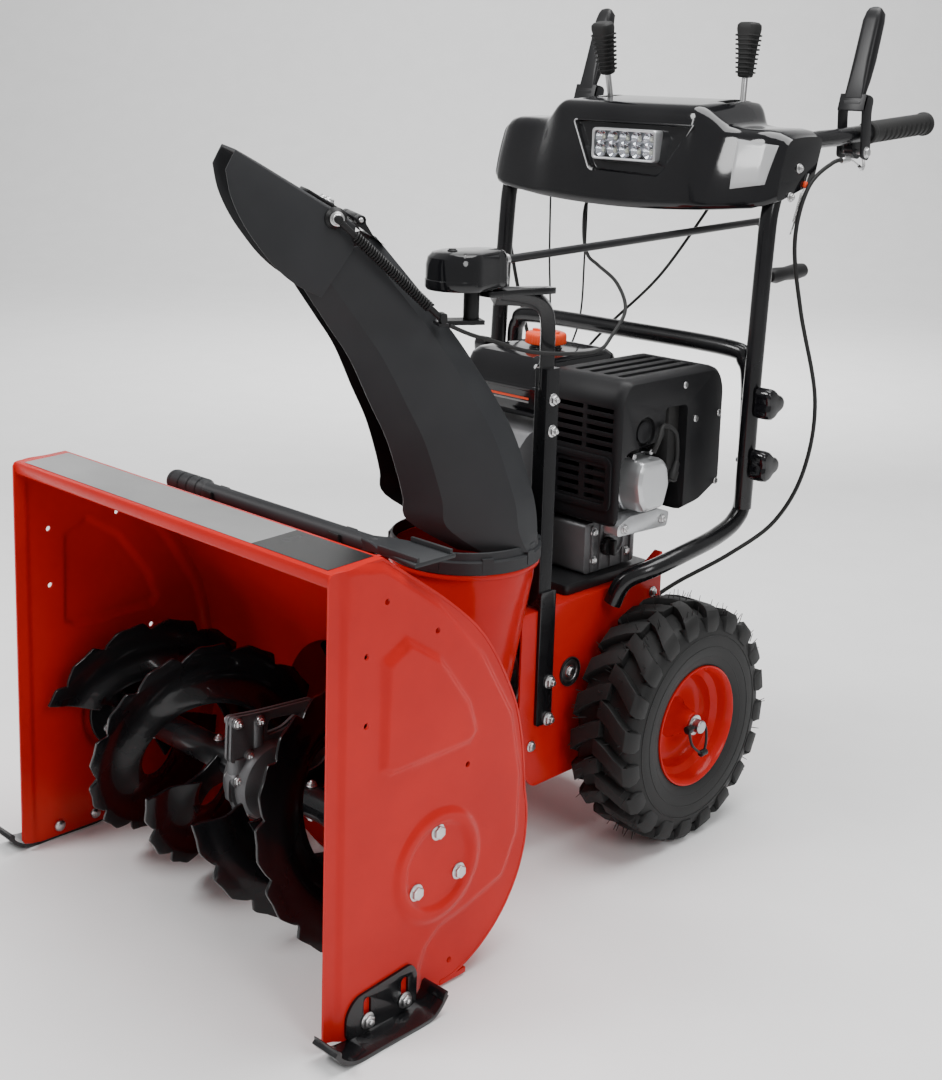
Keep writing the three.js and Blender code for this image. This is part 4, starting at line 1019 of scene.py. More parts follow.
def deflector():
    rows = spline_rows(HOOD_ROWS[1:], 4)
    rows = [list(HOOD_ROWS[0])] + rows
    piece = Piece("deflector_hood", "deflector", "matte_black_plastic", "deflector")
    piece.add(CHARCOAL, shell([hood_row(r, 0) for r in rows], [hood_row(r, 3.6) for r in rows]))
    piece.add(SATIN, in_chute(rod("y", (HINGE[1], HINGE[0]), -28.3, 28.3, 6, 28)))
    tilt = math.atan2(903 - 871, 230 - 176)
    at = (176, 0, 874)
    strap = turned(box((-24, 40), (-26, 26), (-1, 2.4)), "Y", -tilt)
    piece.add(SATIN, in_chute(moved(strap, *at)))
    for s, w in ((10, -16), (10, 16)):
        spot = Vector(at) + Vector((s * math.cos(tilt), w, s * math.sin(tilt)))
        up = (-math.sin(tilt), 0, math.cos(tilt))
        piece.add(ZINC, *(in_chute(b) for b in bolt(spot + Vector(up) * 2.4, up, 6, 5, 0)))
    boss = lathe("y", (866, 184), [(13, 60), (13, 65), (9, 68), (9, 72), (5, 73), (5, 84)], 32)
    piece.add(PLASTIC, in_chute(boss))
    piece.add(ZINC, *(in_chute(b) for b in bolt((184, 72, 866), (0, 1, 0), 7, 6, 3)))
    piece.build(0.6, angle=28)


def deflector_spring():
    """A sheathed spring around the deflector's cable, from the clamp up to the hood's boss."""
    low, high = chute_point(60, 74, 751), chute_point(180, 76, 862)
    piece = Piece("spring_sleeve", "chute", "matte_black_plastic", "deflector_spring")
    piece.add(PLASTIC, coil(low.lerp(high, 0.1), low.lerp(high, 0.86), 5.4, 1.5, 34, 14, 8))
    core = [low.lerp(high, i / 40) for i in range(41)]
    piece.add(PLASTIC, tube(core, 3.9, 1, 20, smooth=False))
    piece.build(angle=60, across=("chute", "deflector", low.lerp(high, 0.55), high))


def gear_head():
    piece = Piece("gear_cap", "frame", "gloss_black_plastic", "gear_head")
    outline = resampled(oval_outline((120, 362), 40, (120, 414), 27), 72)
    levels = [(775.4, 0.9), (776, 0.97), (779, 1), (788, 1), (789, 0.985), (806, 0.985), (815, 0.95),
              (820.5, 0.86)]
    piece.add(GLOSS, stack("z", outline, CHUTE, levels + [(822.6, 0.7), (823, 0.3)]))
    piece.add(SATIN, *bolt((120, 352, 822.6), (0, 0, 1), 5, 3.4, 0))
    hole = rod("y", (CRANK_FRONT[1], 120), 404, 470, 8, 24)
    piece.build(0.4, cutters=[hole])


def oval_outline(a, radius_a, b, radius_b):
    """The outline around two circles on one line of constant x."""
    front = [polar(a, radius_a, math.pi + math.pi * i / 24) for i in range(25)]
    rear = [polar(b, radius_b, math.pi * i / 24) for i in range(25)]
    return front + rear


def chute_post():
    piece = Piece("post", "frame", "black_paint", "chute_post")
    strap = rect(484, 514, 187, 372, 5)
    piece.add(BLACK, prism("x", strap, BODY_HALF + 0.4, BODY_HALF + 5))
    channel = rect(143, BODY_HALF + 0.3, 485, 510, 3)
    piece.add(BLACK, prism("z", channel, 352, 668))
    piece.add(BLACK, box((145, BODY_HALF + 5), (486, 509), (350, 372)))
    neck = [(153, 496, 640), (153, 496, 690), (153, 495, 726), (151, 489, 746), (145, 472, 758),
            (134, 446, 762), (124, 424, 763)]
    section = rect(-9.4, 9.4, -9.4, 9.4, 3, 3)
    piece.add(BLACK, sweep(spline(neck, 6), section))
    arm = rounded([(97, 398), (144, 398), (150, 450), (162, 484), (162, 502), (144, 502), (118, 452),
                   (97, 446)], 7)
    piece.add(BLACK, prism("z", arm, 764.5, 772))
    stub = rod("z", CHUTE, 750, 780, 11.2, 32)
    piece.build(0.8, cutters=[stub])
    nuts = Piece("post_nuts", "frame", "steel")
    for z in (245, 193):
        nuts.add(ZINC, *bolt((BODY_HALF + 5.2, 507, z), (1, 0, 0), 7.5, 6, 4))
    for z in (628, 587):
        nuts.add(ZINC, *bolt((BODY_HALF + 0.5, 497, z), (1, 0, 0), 6.6, 6, 4))
    nuts.build(0.3)


def crank():
    slope = math.atan2(CRANK_REAR[1] - CRANK_FRONT[1], CRANK_REAR[0] - CRANK_FRONT[0])
    length = math.hypot(CRANK_REAR[1] - CRANK_FRONT[1], CRANK_REAR[0] - CRANK_FRONT[0])
    bar = [(0, 0, 0), (0, length * 0.5, 0), (0, length - 6, 0), (0, length + 8, -1), (0, length + 20, -14),
           (0, length + 24, -70), (0, length + 32, -84), (0, length + 46, -88)]
    handle = [(6, 44), (9, 46), (12.4, 60), (10.6, 84), (12.6, 118), (11, 136), (5, 140)]
    handle = [(radius, length + place) for radius, place in handle]
    place = Matrix.Translation((CHUTE[0], *CRANK_FRONT)) @ Matrix.Rotation(slope, 4, "X")
    piece = Piece("crank_bar", "crank", "black_paint", "crank_rod")
    piece.add(SATIN, changed(tube(bar, 5.4, 8, 20), place))
    piece.add(PLASTIC, changed(lathe("y", (-88, 0), handle, 40), place))
    joint = lathe("y", (0, 0), [(5, 12), (7.4, 13), (7.4, 40), (5, 41)], 24)
    piece.add(ZINC, changed(joint, place))
    piece.build(angle=40)


def cleanout_tool():
    piece = Piece("cleaning_tool", "cleanout_tool", "matte_black_plastic", "cleanout_tool")
    handle = [(8, -158), (13, -156), (14, -150), (14, -90), (12, -86), (10.6, -82), (10.6, 214), (9, 224)]
    piece.add(CHARCOAL, lathe("x", TOOL, handle, 40))
    for x in (-150, -132, -114, -96):
        collar = [(13, x - 3), (14, x - 2), (14, x + 2), (13, x + 3)]
        piece.add(CHARCOAL, lathe("x", TOOL, collar, 40))
    rings = []
    blade = (
        (205, 133, 151, 509, 525), (230, 126, 160, 515, 526), (252, 118, 170, 518.6, 524.6),
        (313, 112, 174, 519.4, 524.6),
    )
    for x, y0, y1, z0, z1 in blade:
        rings.append([(x, p[0], p[1]) for p in rect(y0, y1, z0, z1, 2.4, 3)])
    piece.add(CHARCOAL, loft(rings))
    for y in (118, 168):
        piece.add(CHARCOAL, box((250, 312), (y - 2, y + 2), (523, 530)))
    piece.build(0.9)


chute()
deflector()
deflector_spring()
gear_head()
chute_post()
crank()
cleanout_tool()


# ---- body, axle and wheels ----
def body_shell():
    piece = Piece("body_panels", "frame", "red_paint", "tractor_body")
    y0, y1 = BODY_Y
    z0, z1 = BODY_Z
    cheek = rounded([(y0, z0 + 40), (y0 + 30, z0), (y1 - 20, z0), (y1, z0 + 22), (y1, z1), (y0, z1)], 10)
    for side in (LEFT, RIGHT):
        piece.add(RED, sided(prism("x", cheek, BODY_HALF - 3, BODY_HALF), side))
        fold = prism("x", rect(y0 + 6, y1 - 4, z1 - 3, z1), BODY_HALF - 20, BODY_HALF - 1)
        piece.add(RED, sided(fold, side))
    piece.add(RED, box((-BODY_HALF + 2, BODY_HALF - 2), (545, y1 - 2), (z1 - 3, z1)))
    piece.add(RED, box((-BODY_HALF + 2, BODY_HALF - 2), (545, y1 - 2), (z0, z0 + 3)))
    piece.add(RED, box((-BODY_HALF + 2, BODY_HALF - 2), (y1 - 3, y1), (z0 + 1, z1 - 1)))
    kick = rounded([(680, 345), (752, 345), (750, 377), (716, 357)], 5)
    piece.add(RED, prism("x", kick, 153, BODY_HALF))
    piece.build(0.8, cutters=[rod("x", AXLE, -200, 200, 10.6, 32)])
    discs = Piece("body_bearings", "frame", "steel")
    bearing = (554, 246)
    for side in (LEFT, RIGHT):
        flange = outside([(28, 0.2), (28, 2), (21, 3), (19, 7), (10.4, 7), (10.4, 0.2)])
        discs.add(SATIN, sided(washer_ring("x", AXLE, flange, 56), side))
        for angle in (0.6, 2.7, 4.7):
            at = (BODY_HALF + 2, *polar(AXLE, 24, angle))
            discs.add(ZINC, *(sided(b, side) for b in bolt(at, (1, 0, 0), 4.4, 4)))
        for y, z in (bearing, (480, 160), (730, 320)):
            discs.add(ZINC, *(sided(b, side) for b in bolt((BODY_HALF + 0.3, y, z), (1, 0, 0), 6, 5)))
        ring = [(20.5, 0.3), (20.5, 2.4), (19, 3), (17.4, 2.6), (17.4, 0.3)]
        race = [(17, 0.3), (17, 1.6), (13.4, 2.3), (12.4, 1.2), (9.4, 1.4), (8, 0.3)]
        for material, profile in ((SATIN, ring), (ZINC, race)):
            discs.add(material, sided(washer_ring("x", bearing, outside(profile), 48), side))
        cover = outside([(26, 0.3), (26, 1.6), (10, 2.4), (9, 5), (1, 5)])
        discs.add(BLACK, sided(lathe("x", DRIVEN_SHAFT, cover, 48), side))
    discs.build(0.2)


def toothed(centre, teeth, steps):
    """A gear's outline: in each tooth, (share of the pitch, radius) steps."""
    return [polar(centre, r, math.tau * (i + k) / teeth) for i in range(teeth) for k, r in steps]


def outside(profile):
    """A profile of (radius, height above the body's side)."""
    return [(radius, BODY_HALF + height) for radius, height in profile]


def drive_train():
    piece = Piece("drive_parts", "wheels", "steel", "axle")
    piece.add(STEEL, rod("x", AXLE, -291, 291, 9.4, 36, 1.4))
    steps = ((0.0, 47.6), (0.28, 47.8), (0.4, 51.8), (0.68, 51.8), (0.85, 47.8))
    piece.add(CAST, prism("x", toothed(AXLE, 44, steps), 101, 111))
    piece.add(CAST, lathe("x", AXLE, [(16, 99.8), (18, 100.5), (18, 112), (16, 112.6)], 36))
    piece.build(0.2)
    wheel = Piece("drive_wheel", "friction_wheel", "rubber", "friction_wheel")
    profile = [(20, 22), (22, 24), (52, 24.4), (53, 26), (56, 24), (59.6, 25), (60, 27), (60, 31),
               (59.6, 33), (56, 34), (53, 32), (52, 33.6), (22, 34), (20, 38)]
    wheel.add(RUBBER, lathe("x", DRIVEN_SHAFT, profile, 72))
    wheel.add(STEEL, prism("x", circle(DRIVEN_SHAFT, 8, 6), -157.8, 157.8))
    pinion = toothed(DRIVEN_SHAFT, 16, ((0.0, 17.6), (0.3, 21), (0.6, 21), (0.9, 17.6)))
    wheel.add(STEEL, prism("x", pinion, 98, 114))
    wheel.build(0.2)
    disc = Piece("drive_disc", "friction_disc", "steel", "friction_disc")
    face = [(10, 549), (14, 550), (14, 556), (64, 557.4), (70, 558), (72, 559.5), (72, 564.5), (70, 566),
            (20, 566), (16, 564)]
    disc.add(STEEL, lathe("y", (200, 0), face, 96))
    disc.build(0.2)


CHANCE = random.Random(7)
TYRE_PROFILE = [
    (85, 190), (94, 187), (105, 184.5), (120, 184), (134, 186), (144, 189), (150, 195), (152, 204),
    (153, 220),
    (153.4, 235.5), (153, 251), (152, 267), (150, 276), (144, 282), (134, 285), (120, 287), (105, 286.5),
    (94, 284), (85, 281),
]
LUGS = 20
HAIRS = 170


def lug(angle, side):
    """One bar of the tread: from the middle of the tyre, slanting back, over the shoulder and down."""
    stations = [
        (0.235, -0.02, 164.6, 11.5), (0.30, 0.035, 164.8, 11.5), (0.62, 0.11, 164.4, 12.5),
        (0.86, 0.17, 162, 14), (0.965, 0.185, 155, 15), (1.0, 0.19, 143, 15), (0.985, 0.19, 134, 12),
    ]
    rings = []
    for reach, lag, radius, half in stations:
        x = WHEEL_X + side * (reach * 51.5 if reach > 0.24 else -4)
        foot = 13 if radius > 150 else 5
        ring = []
        for swing, drop in ((-half, 0), (half, 0), (half + 2.5, -foot), (-half - 2.5, -foot)):
            if radius > 158:
                r, px = radius + drop, x
            else:
                r = radius + (drop * 0.2)
                px = x + side * drop * 0.9
            at = angle + lag + swing / 165
            ring.append((px, *polar(AXLE, r, at)))
        rings.append(ring)
    return loft(rings)


def tyre(side, name):
    piece = Piece("tyre_" + name, "wheels", "tyre", "tyre_" + name, side=side)
    piece.add(TYRE, washer_ring("x", AXLE, TYRE_PROFILE, 140))
    for i in range(LUGS):
        step = math.tau / LUGS
        piece.add(TYRE, lug(i * step, 1), lug((i + 0.5) * step, -1))
    for r, x in ((128, 185.0), (112, 184.4), (98, 186.6)):
        bead = [(r - 1, x + 1), (r - 0.6, x - 0.7), (r + 0.6, x - 0.9), (r + 1, x + 1)]
        piece.add(TYRE, washer_ring("x", AXLE, bead, 140))
        back = 2 * WHEEL_X - x
        far = [(r - 1, back - 1), (r - 0.6, back + 0.7), (r + 0.6, back + 0.7), (r + 1, back - 1)]
        piece.add(TYRE, washer_ring("x", AXLE, far, 140))
    piece.build(1.1, angle=40)
    hairs = Piece("tyre_hairs_" + name, "wheels", "tyre", side=side)
    for i in range(HAIRS):
        angle = math.tau * i / HAIRS + CHANCE.uniform(-0.02, 0.02)
        x = CHANCE.choice((196, 214, 230, 241, 257, 275)) + CHANCE.uniform(-4, 4)
        length = CHANCE.uniform(12, 16)
        out = (CHANCE.uniform(-0.3, 0.3), math.cos(angle), math.sin(angle))
        if out[2] < -0.88:
            length = 4
        root = 160 if 205 < x < 266 else 157
        at = (x, AXLE[0] + root * out[1], AXLE[1] + root * out[2])
        hairs.add(TYRE, aimed(lathe("z", (0, 0), [(0.75, 0), (0.4, length)], 5), at, out))
    hairs.build(angle=60)


def rim(side, name):
    piece = Piece("rim_" + name, "wheels", "red_paint", "rim_" + name, side=side)
    back = [(10.4, 214), (20, 214), (22, 216), (24, 232), (28, 234), (52, 232), (60, 214), (68, 202),
            (75, 196), (82, 189.5)]
    barrel = [(84.4, 190), (84.4, 198), (80, 210), (78, 235), (80, 264), (84.4, 276), (84.4, 283)]
    dish = [(82.5, 283.6), (79, 279), (76.4, 271), (74.6, 263), (70, 259.6), (66.4, 256), (64, 247),
            (60, 241.6), (52, 239)]
    hub = [(36, 239), (29, 241), (23, 248), (18.4, 260), (16, 274), (14.6, 276.2), (10.4, 276.2)]
    piece.add(RED, washer_ring("x", AXLE, back + barrel + dish + hub, 112))
    piece.build(0.3, angle=26)
    pin = Piece("wheel_pin_" + name, "wheels", "steel", side=side)
    y, z = AXLE
    pin.add(ZINC, lathe("x", AXLE, [(9.4, 276.6), (14, 277), (14, 279), (9.4, 279.4)], 32))
    pin.add(SATIN, rod("y", (z, 283), y - 22, y + 16, 2.6, 16))
    pin.add(SATIN, rod("y", (z, 283), y - 25, y - 16, 5.6, 20))
    loop = [(284, y - 20, z - 3), (286, y - 15, z - 22), (287, y + 1, z - 37), (287, y + 12, z - 41),
            (287, y + 17, z - 26),
            (285, y + 18, z - 9), (283, y + 14, z)]
    pin.add(SATIN, tube(loop, 1.9, 6, 12))
    pin.add(SATIN, rod("y", (z - 41, 287), y + 4, y + 18, 4.6, 20))
    pin.build(0.1)


body_shell()
drive_train()
for side, name in SIDES:
    tyre(side, name)
    rim(side, name)


# ---- engine ----
def engine_block():
    piece = Piece("engine_castings", "frame", "cast_iron", "engine_block")
    base = rect(-112, 150, 558, 738, 8)
    piece.add(SATIN, prism("z", base, 347.3, 361))
    case = rounded([(558, 360), (732, 360), (732, 520), (700, 550), (590, 550), (558, 520)], 10)
    piece.add(CAST, prism("x", case, -106, 46))
    piece.add(CAST, prism("x", rect(610, 720, 362, 434, 8), 40, 136))
    for i in range(9):
        z = 437 + i * 10.4
        fin = rect(42, 164, 624, 700, 8)
        piece.add(ALLOY, prism("z", fin, z, z + 4))
    piece.add(ALLOY, box((42, 160), (634, 690), (436, 528)))
    for y in (622, 640, 664, 690, 708):
        piece.add(CAST, prism("x", rect(y, y + 5, 364, 430, 1.5), 130, 139))
    for y, z in ((628, 380), (700, 380), (628, 420), (702, 418)):
        piece.add(ZINC, *bolt((136.4, y, z), (1, 0, 0), 5.4, 5))
    drain = [(22, 136), (22, 141), (18, 144), (16, 144), (15, 141), (4, 141)]
    piece.add(CAST, lathe("x", (668, 402), drain, 36))
    piece.add(CAST, rod("y", CRANKSHAFT, 734, 737.6, 60, 64))
    piece.build(0.8)


def louvre(z, x0, x1):
    return prism("x", [(594, z + 1), (612, z - 3), (612, z + 3.4), (594, z + 7.2)], x0, x1)


def engine_cover():
    outline = [(600, 614), (606, 628), (618, 641), (816, 641), (830, 632), (838, 612), (838, 470),
               (790, 447), (745, 441), (606, 441), (600, 448)]
    piece = Piece("cover_shell", "frame", "matte_black_plastic", "engine_cover")
    levels = [(60, 0.985), (66, 1), (180, 1), (189, 0.985), (195, 0.945)]
    piece.add(COVER, stack("x", rounded(outline, 9), (719, 545), levels))
    border = rounded([(463, 77), (463, 185), (538, 185), (538, 77)], 14)
    hole = rounded([(472, 86), (472, 176), (529, 176), (529, 86)], 9)
    rings = []
    for line, y in ((border, 601), (border, 597), (hole, 597), (hole, 601)):
        rings.append([on_axis("y", a, b, y) for a, b in line])
    piece.add(COVER, loft(rings, caps=False))
    cutters = []
    for column in (0, 1):
        x0 = 86 + column * 52
        for row in range(5):
            z = 546 + row * 13
            cutters.append(louvre(z, x0, x0 + 45))
        for row in range(4):
            z = 477 + row * 13
            cutters.append(louvre(z, x0 + 4 - column * 4, x0 + 42 - column * 5))
    for i in range(4):
        x = 82 + i * 25
        cutters.append(prism("z", rect(x, x + 13, 636, 800, 5), 638, 660))
    portal = [(606, 425), (750, 425), (750, 594), (700, 596), (698, 552), (622, 545), (606, 530)]
    cutters.append(prism("x", rounded(portal, 8), 148, 230))
    port = (657, 567)
    cutters.append(rod("x", port, 189, 230, 21, 48))
    piece.build(1.2, cutters=cutters, angle=30)
    details = Piece("cover_details", "frame", "matte_black_plastic")
    # a dark disc at the bottom of the port: painted shade
    details.add(PAINTED_SHADE, rod("x", port, 186, 189.6, 20, 48))
    details.add(COVER, lathe("x", port, [(15, 188), (15, 193), (11, 194), (4, 194)], 40))
    for y, z in ((827, 472), (826, 572), (770, 571), (742, 622)):
        details.add(ZINC, lathe("x", (y, z), [(5, 190), (5, 195.6), (3.4, 196.8), (0.8, 196.8)], 20))
    # dark sheets behind the louvres and the top slots: painted shade
    details.add(PAINTED_SHADE, box((70, 180), (612, 616), (466, 612)))
    details.add(PAINTED_SHADE, box((72, 176), (640, 796), (634, 637)))
    details.build(0.4)


def exhaust():
    piece = Piece("muffler_box", "frame", "steel", "muffler")
    levels = [(84, 0.9), (90, 1), (168, 1), (180, 0.9)]
    piece.add(SOOT, stack("x", rect(723, 821, 476, 614, 16), (772, 545), levels))
    piece.build(1.0)


def valve_cover():
    piece = Piece("rocker_cover", "frame", "engine_alloy", "valve_cover")
    shield = [(630, 520), (638, 532), (684, 532), (696, 520), (702, 492), (690, 458), (646, 456),
              (634, 472), (627, 498)]
    levels = [(165.4, 1), (172, 1), (173, 0.95), (199, 0.95), (206, 0.9), (209.6, 0.78), (210, 0.6)]
    piece.add(SILVER, stack("x", rounded(shield, 5), (665, 495), levels))
    piece.add(ALLOY, prism("x", rounded([(622, 452), (632, 440), (632, 528), (622, 520)], 3), 165.4, 169))
    foot = rounded([(612, 428), (722, 424), (726, 444), (700, 452), (636, 452), (612, 442)], 5)
    piece.add(SILVER, prism("x", foot, 166, 190))
    for y, z in ((626, 437), (710, 436)):
        piece.add(ZINC, *bolt((190.2, y, z), (1, 0, 0), 5.6, 5, 2))
    piece.add(ZINC, rod("x", (640, 535), 168, 192, 4.4, 20), rod("x", (682, 535), 168, 188, 4.4, 20))
    piece.build(0.7, angle=28)


def fuel_tank():
    piece = Piece("tank", "frame", "gloss_black_plastic", "fuel_tank")
    rings = []
    outline = rect(-112, 50, 612, 788, 26, 8)
    levels = [(562, 0.9), (566, 0.97), (578, 1.0), (601, 1.0), (602, 1.03), (607, 1.03), (608, 1.0),
              (626, 0.985)]
    for z, scale in levels + [(640, 0.93), (647, 0.84), (649, 0.7)]:
        narrow = 1 if scale <= 1 else 0.99
        rings.append([(-31 + (x + 31) * scale * narrow, 700 + (y - 700) * scale, z) for x, y in outline])
    piece.add(GLOSS, loft(rings))
    filler = (-20, 692)
    neck = [(22, 640), (24, 641), (24, 651), (22.5, 652), (22, 655.4)]
    piece.add(GLOSS, lathe("z", filler, neck, 48))
    piece.build(0.6, angle=30)
    stripes = Piece("tank_stripes", "frame", "gloss_black_plastic")
    for material, z0, z1 in ((ORANGE, 589, 592), (LABEL, 584.5, 587)):
        stripes.add(material, prism("x", rect(611.2, 611.9, z0, z1), -84, 22))
    stripes.build(0)
    cap = Piece("tank_cap", "fuel_cap", "orange_plastic", "fuel_cap")
    ribs = 40
    rings = []
    for radius, z in ((27, 655.9), (29, 657), (29, 668), (27.6, 671), (24, 672.4), (10, 672.8), (2, 673)):
        ring = []
        for i in range(ribs * 4):
            grip = 1.0 if (i % 4) < 2 or radius < 27 else 0.0
            r = radius + grip
            angle = math.tau * i / (ribs * 4)
            ring.append((*polar(filler, r, angle), z))
        rings.append(ring)
    cap.add(ORANGE, loft(rings))
    cap.add(ORANGE, prism("z", rect(-44, 4, 688, 696, 3), 671, 675))
    cap.build(0.5, angle=30)


def recoil():
    piece = Piece("recoil_cover", "frame", "matte_black_plastic", "recoil_housing")
    shell_line = [(78, 738), (80, 740), (80, 770), (78, 774), (68, 777), (66, 780), (66, 796), (63, 799.4),
                  (20, 799.8), (18, 797), (2, 797)]
    piece.add(CHARCOAL, lathe("y", CRANKSHAFT, shell_line, 96))
    piece.add(CHARCOAL, prism("x", rect(770, 802, 498, 533, 7), -66, -34))
    cutters = []
    for i in range(28):
        angle = math.tau * i / 28
        slot = prism("x", rect(790, 806, 34, 58), -2.2, 2.2)
        cutters.append(moved(turned(slot, "Y", angle), -25, 0, 453))
    piece.build(0.8, cutters=cutters)
    handle = Piece("starter_handle", "recoil_handle", "matte_black_plastic", "recoil_handle")
    grip = [(4, -98), (8, -96), (9.2, -90), (7.6, -70), (9.4, -50), (7.6, -30), (9.2, -10), (8, -4),
            (4, -2)]
    handle.add(PLASTIC, lathe("x", (822, 517), grip, 36))
    handle.add(PLASTIC, lathe("y", (517, -50), [(5, 803.4), (7, 805), (7, 818), (5, 822)], 28))
    handle.build(0.4)
    rope = Piece("starter_rope", "frame", "rubber")
    start, end = Vector((-50, 789, 517)), Vector((-50, 806, 517))
    rope.add(RUBBER, tube([start.lerp(end, i / 8) for i in range(9)], 2.4, 1, 14, smooth=False))
    rope.build(angle=50, across=("frame", "recoil_handle", start, end))


def auger_belt():
    """A V-belt around the drum pulley and the engine pulley."""
    low, high = Vector((0, AUGER[1])), Vector((-25, 453))
    r0, r1 = 72.6, 28.6
    run = high - low
    lean = math.acos((r0 - r1) / run.length)
    base = math.atan2(run.y, run.x)
    centre_line = []
    for k in range(41):
        a = base + lean + (math.tau - 2 * lean) * k / 40
        centre_line.append(polar(low, r0, a))
    for k in range(31):
        a = base - lean + 2 * lean * k / 30
        centre_line.append(polar(high, r1, a))
    rings = []
    count = len(centre_line)
    for i, p in enumerate(centre_line):
        ahead = (Vector(centre_line[(i + 1) % count]) - Vector(centre_line[i - 1])).normalized()
        out = Vector((ahead.y, -ahead.x))
        ring = []
        for grow, y in ((-0.8, 527.2), (-0.8, 532.8), (4, 534.6), (4, 525.4)):
            ring.append((p[0] + out.x * grow, y, p[1] + out.y * grow))
        rings.append(ring)
    piece = Piece("drive_belt", "frame", "rubber", "auger_belt")
    piece.add(RUBBER, loft(rings + rings[:1], caps=False))
    piece.build(angle=40)


def belts():
    crank_pulley = Piece("engine_sheave", "crankshaft", "steel", "engine_pulley")
    groove = [(10, 523.8), (28, 524), (30, 525), (24, 528), (24, 532), (30, 535), (28, 536), (10, 536.2)]
    crank_pulley.add(STEEL, lathe("y", CRANKSHAFT, groove, 72))
    crank_pulley.add(STEEL, rod("y", CRANKSHAFT, 500, 556, 9, 28))
    crank_pulley.build(0.3)
    shaft = Piece("drum_sheave", "impeller_rotor", "steel", "impeller_shaft")
    shaft.add(STEEL, rod("y", (AUGER[1], 0), 228, 540, 9.4, 32, 1.4))
    groove = [(14, 519), (16, 520), (16, 524), (72, 524.2), (74, 525), (69, 528), (69, 532), (74, 535),
              (72, 536)]
    shaft.add(CAST, lathe("y", (AUGER[1], 0), groove + [(16, 536.2), (14, 540)], 96))
    shaft.build(0.3)
    auger_belt()
    cover = Piece("belt_guard", "frame", "black_paint", "belt_cover")
    outline = rounded([(-96, 301), (71, 301), (70, 420), (52, 539), (-77, 539), (-95, 420)], 12)
    centre = (-12, 420)
    hollow = [(centre[0] + (x - centre[0]) * 0.95, centre[1] + (z - centre[1]) * 0.96) for x, z in outline]
    levels = ((outline, 516.4), (outline, 541), (hollow, 544))
    cover.add(SATIN, loft([[(x, y, z) for x, z in line] for line, y in levels]))
    cover.build(0.8, cutters=[prism("y", [(z, x) for x, z in hollow], 519.5, 560)])


def choke():
    piece = Piece("choke", "choke_knob", "matte_black_plastic", "choke_knob")
    rings = []
    for radius, x in ((11, 140.6), (13, 141.4), (13, 148), (11.5, 150.2)):
        ring = []
        for i in range(72):
            angle = math.tau * i / 72
            r = radius - (0.9 if i % 4 == 0 else 0)
            ring.append((x, *polar((650, 398), r, angle)))
        rings.append(ring)
    piece.add(PLASTIC, loft(rings))
    wing = rounded([(647, 387), (653, 387), (654, 409), (646, 409)], 2.5)
    piece.add(PLASTIC, prism("x", wing, 149.6, 158.2))
    piece.build(0.4, angle=30)


def spark_lead():
    points = [(206, 706, 494), (204, 716, 512), (200.5, 722, 536), (203, 712, 562), (200, 690, 572),
              (206, 672, 556), (204, 664, 540)]
    piece = Piece("spark_wire", "frame", "rubber", "spark_plug_lead")
    piece.add(RUBBER, tube(points, 3.4, 8, 18))
    boot = aimed(lathe("z", (0, 0), [(5, 0), (7, 2), (7, 14), (5.4, 16), (5, 26), (4, 28)], 28),
                 (205.5, 706, 494), (-0.1, 0.5, 0.9))
    piece.add(RUBBER, boot)
    piece.build(angle=40)


engine_block()
engine_cover()
exhaust()
valve_cover()
fuel_tank()
recoil()
belts()
choke()
spark_lead()


# ---- handles and their controls ----
UPRIGHT = [
    (243, 828, 442), (243, 832, 600), (243, 843, 808), (243, 852, 872), (244, 878, 928), (246, 925, 954),
    (250, 1000, 961),
    (250, 1120, 970), (250, 1236, 979),
]
LEG = [
    (179, 622, 330), (190, 634, 362), (214, 668, 380), (225, 732, 394), (225, 791, 402), (225, 838, 418),
    (225, 856, 452),
    (225, 856, 562), (225, 852, 622), (217, 851, 648), (189, 850, 662),
]


def lower_loop():
    piece = Piece("lower_frame", "frame", "black_paint", "lower_handle")
    right = [(-x, y, z) for x, y, z in LEG]
    piece.add(BLACK, tube(LEG + [(0, 850, 664)] + right[::-1], 12.4, 8, 28))
    piece.build(angle=50)


def lobed(radius, depth, sides=72):
    """A closed outline with three lobes."""
    turns = [math.tau * i / sides for i in range(sides)]
    return [polar((0, 0), radius + depth * math.cos(3 * a), a) for a in turns]


def upper_tube(side, name):
    piece = Piece("handle_bar_" + name, "frame", "black_paint", "handle_tube_" + name, side=side)
    piece.add(BLACK, tube(UPRIGHT, 12.4, 8, 28))
    lug_line = rounded([(1029, 962), (1061, 964), (1060, 940), (1050, 930), (1040, 930), (1030, 940)], 5)
    piece.add(BLACK, prism("x", lug_line, GRIP_X - 6.8, GRIP_X + 6.8))
    piece.build(0, angle=50)
    grip = Piece("grip_" + name, "frame", "rubber", "grip_" + name, side=side)
    rings = []
    count = 96
    front, rear = 1078, 1250
    for i in range(count):
        t = i / (count - 1)
        y = front + (rear - front) * t
        z = 961 + (y - 1000) * 0.0763
        ribbed = 0.16 < t < 0.94 and i % 8 < 3
        ring = []
        for k in range(48):
            a = math.tau * k / 48
            radius = 16.4 - (2.6 * smooth_step(-math.sin(a), -0.35, 0.1) if ribbed else 0)
            if t < 0.05:
                radius = 17.2
            if t > 0.965:
                radius = 18.2
            if i in (0, count - 1):
                radius = 15.6
            ring.append((GRIP_X + radius * math.cos(a), y, z + radius * math.sin(a)))
        rings.append(ring)
    grip.add(RUBBER, loft(rings))
    grip.build(0, angle=28)


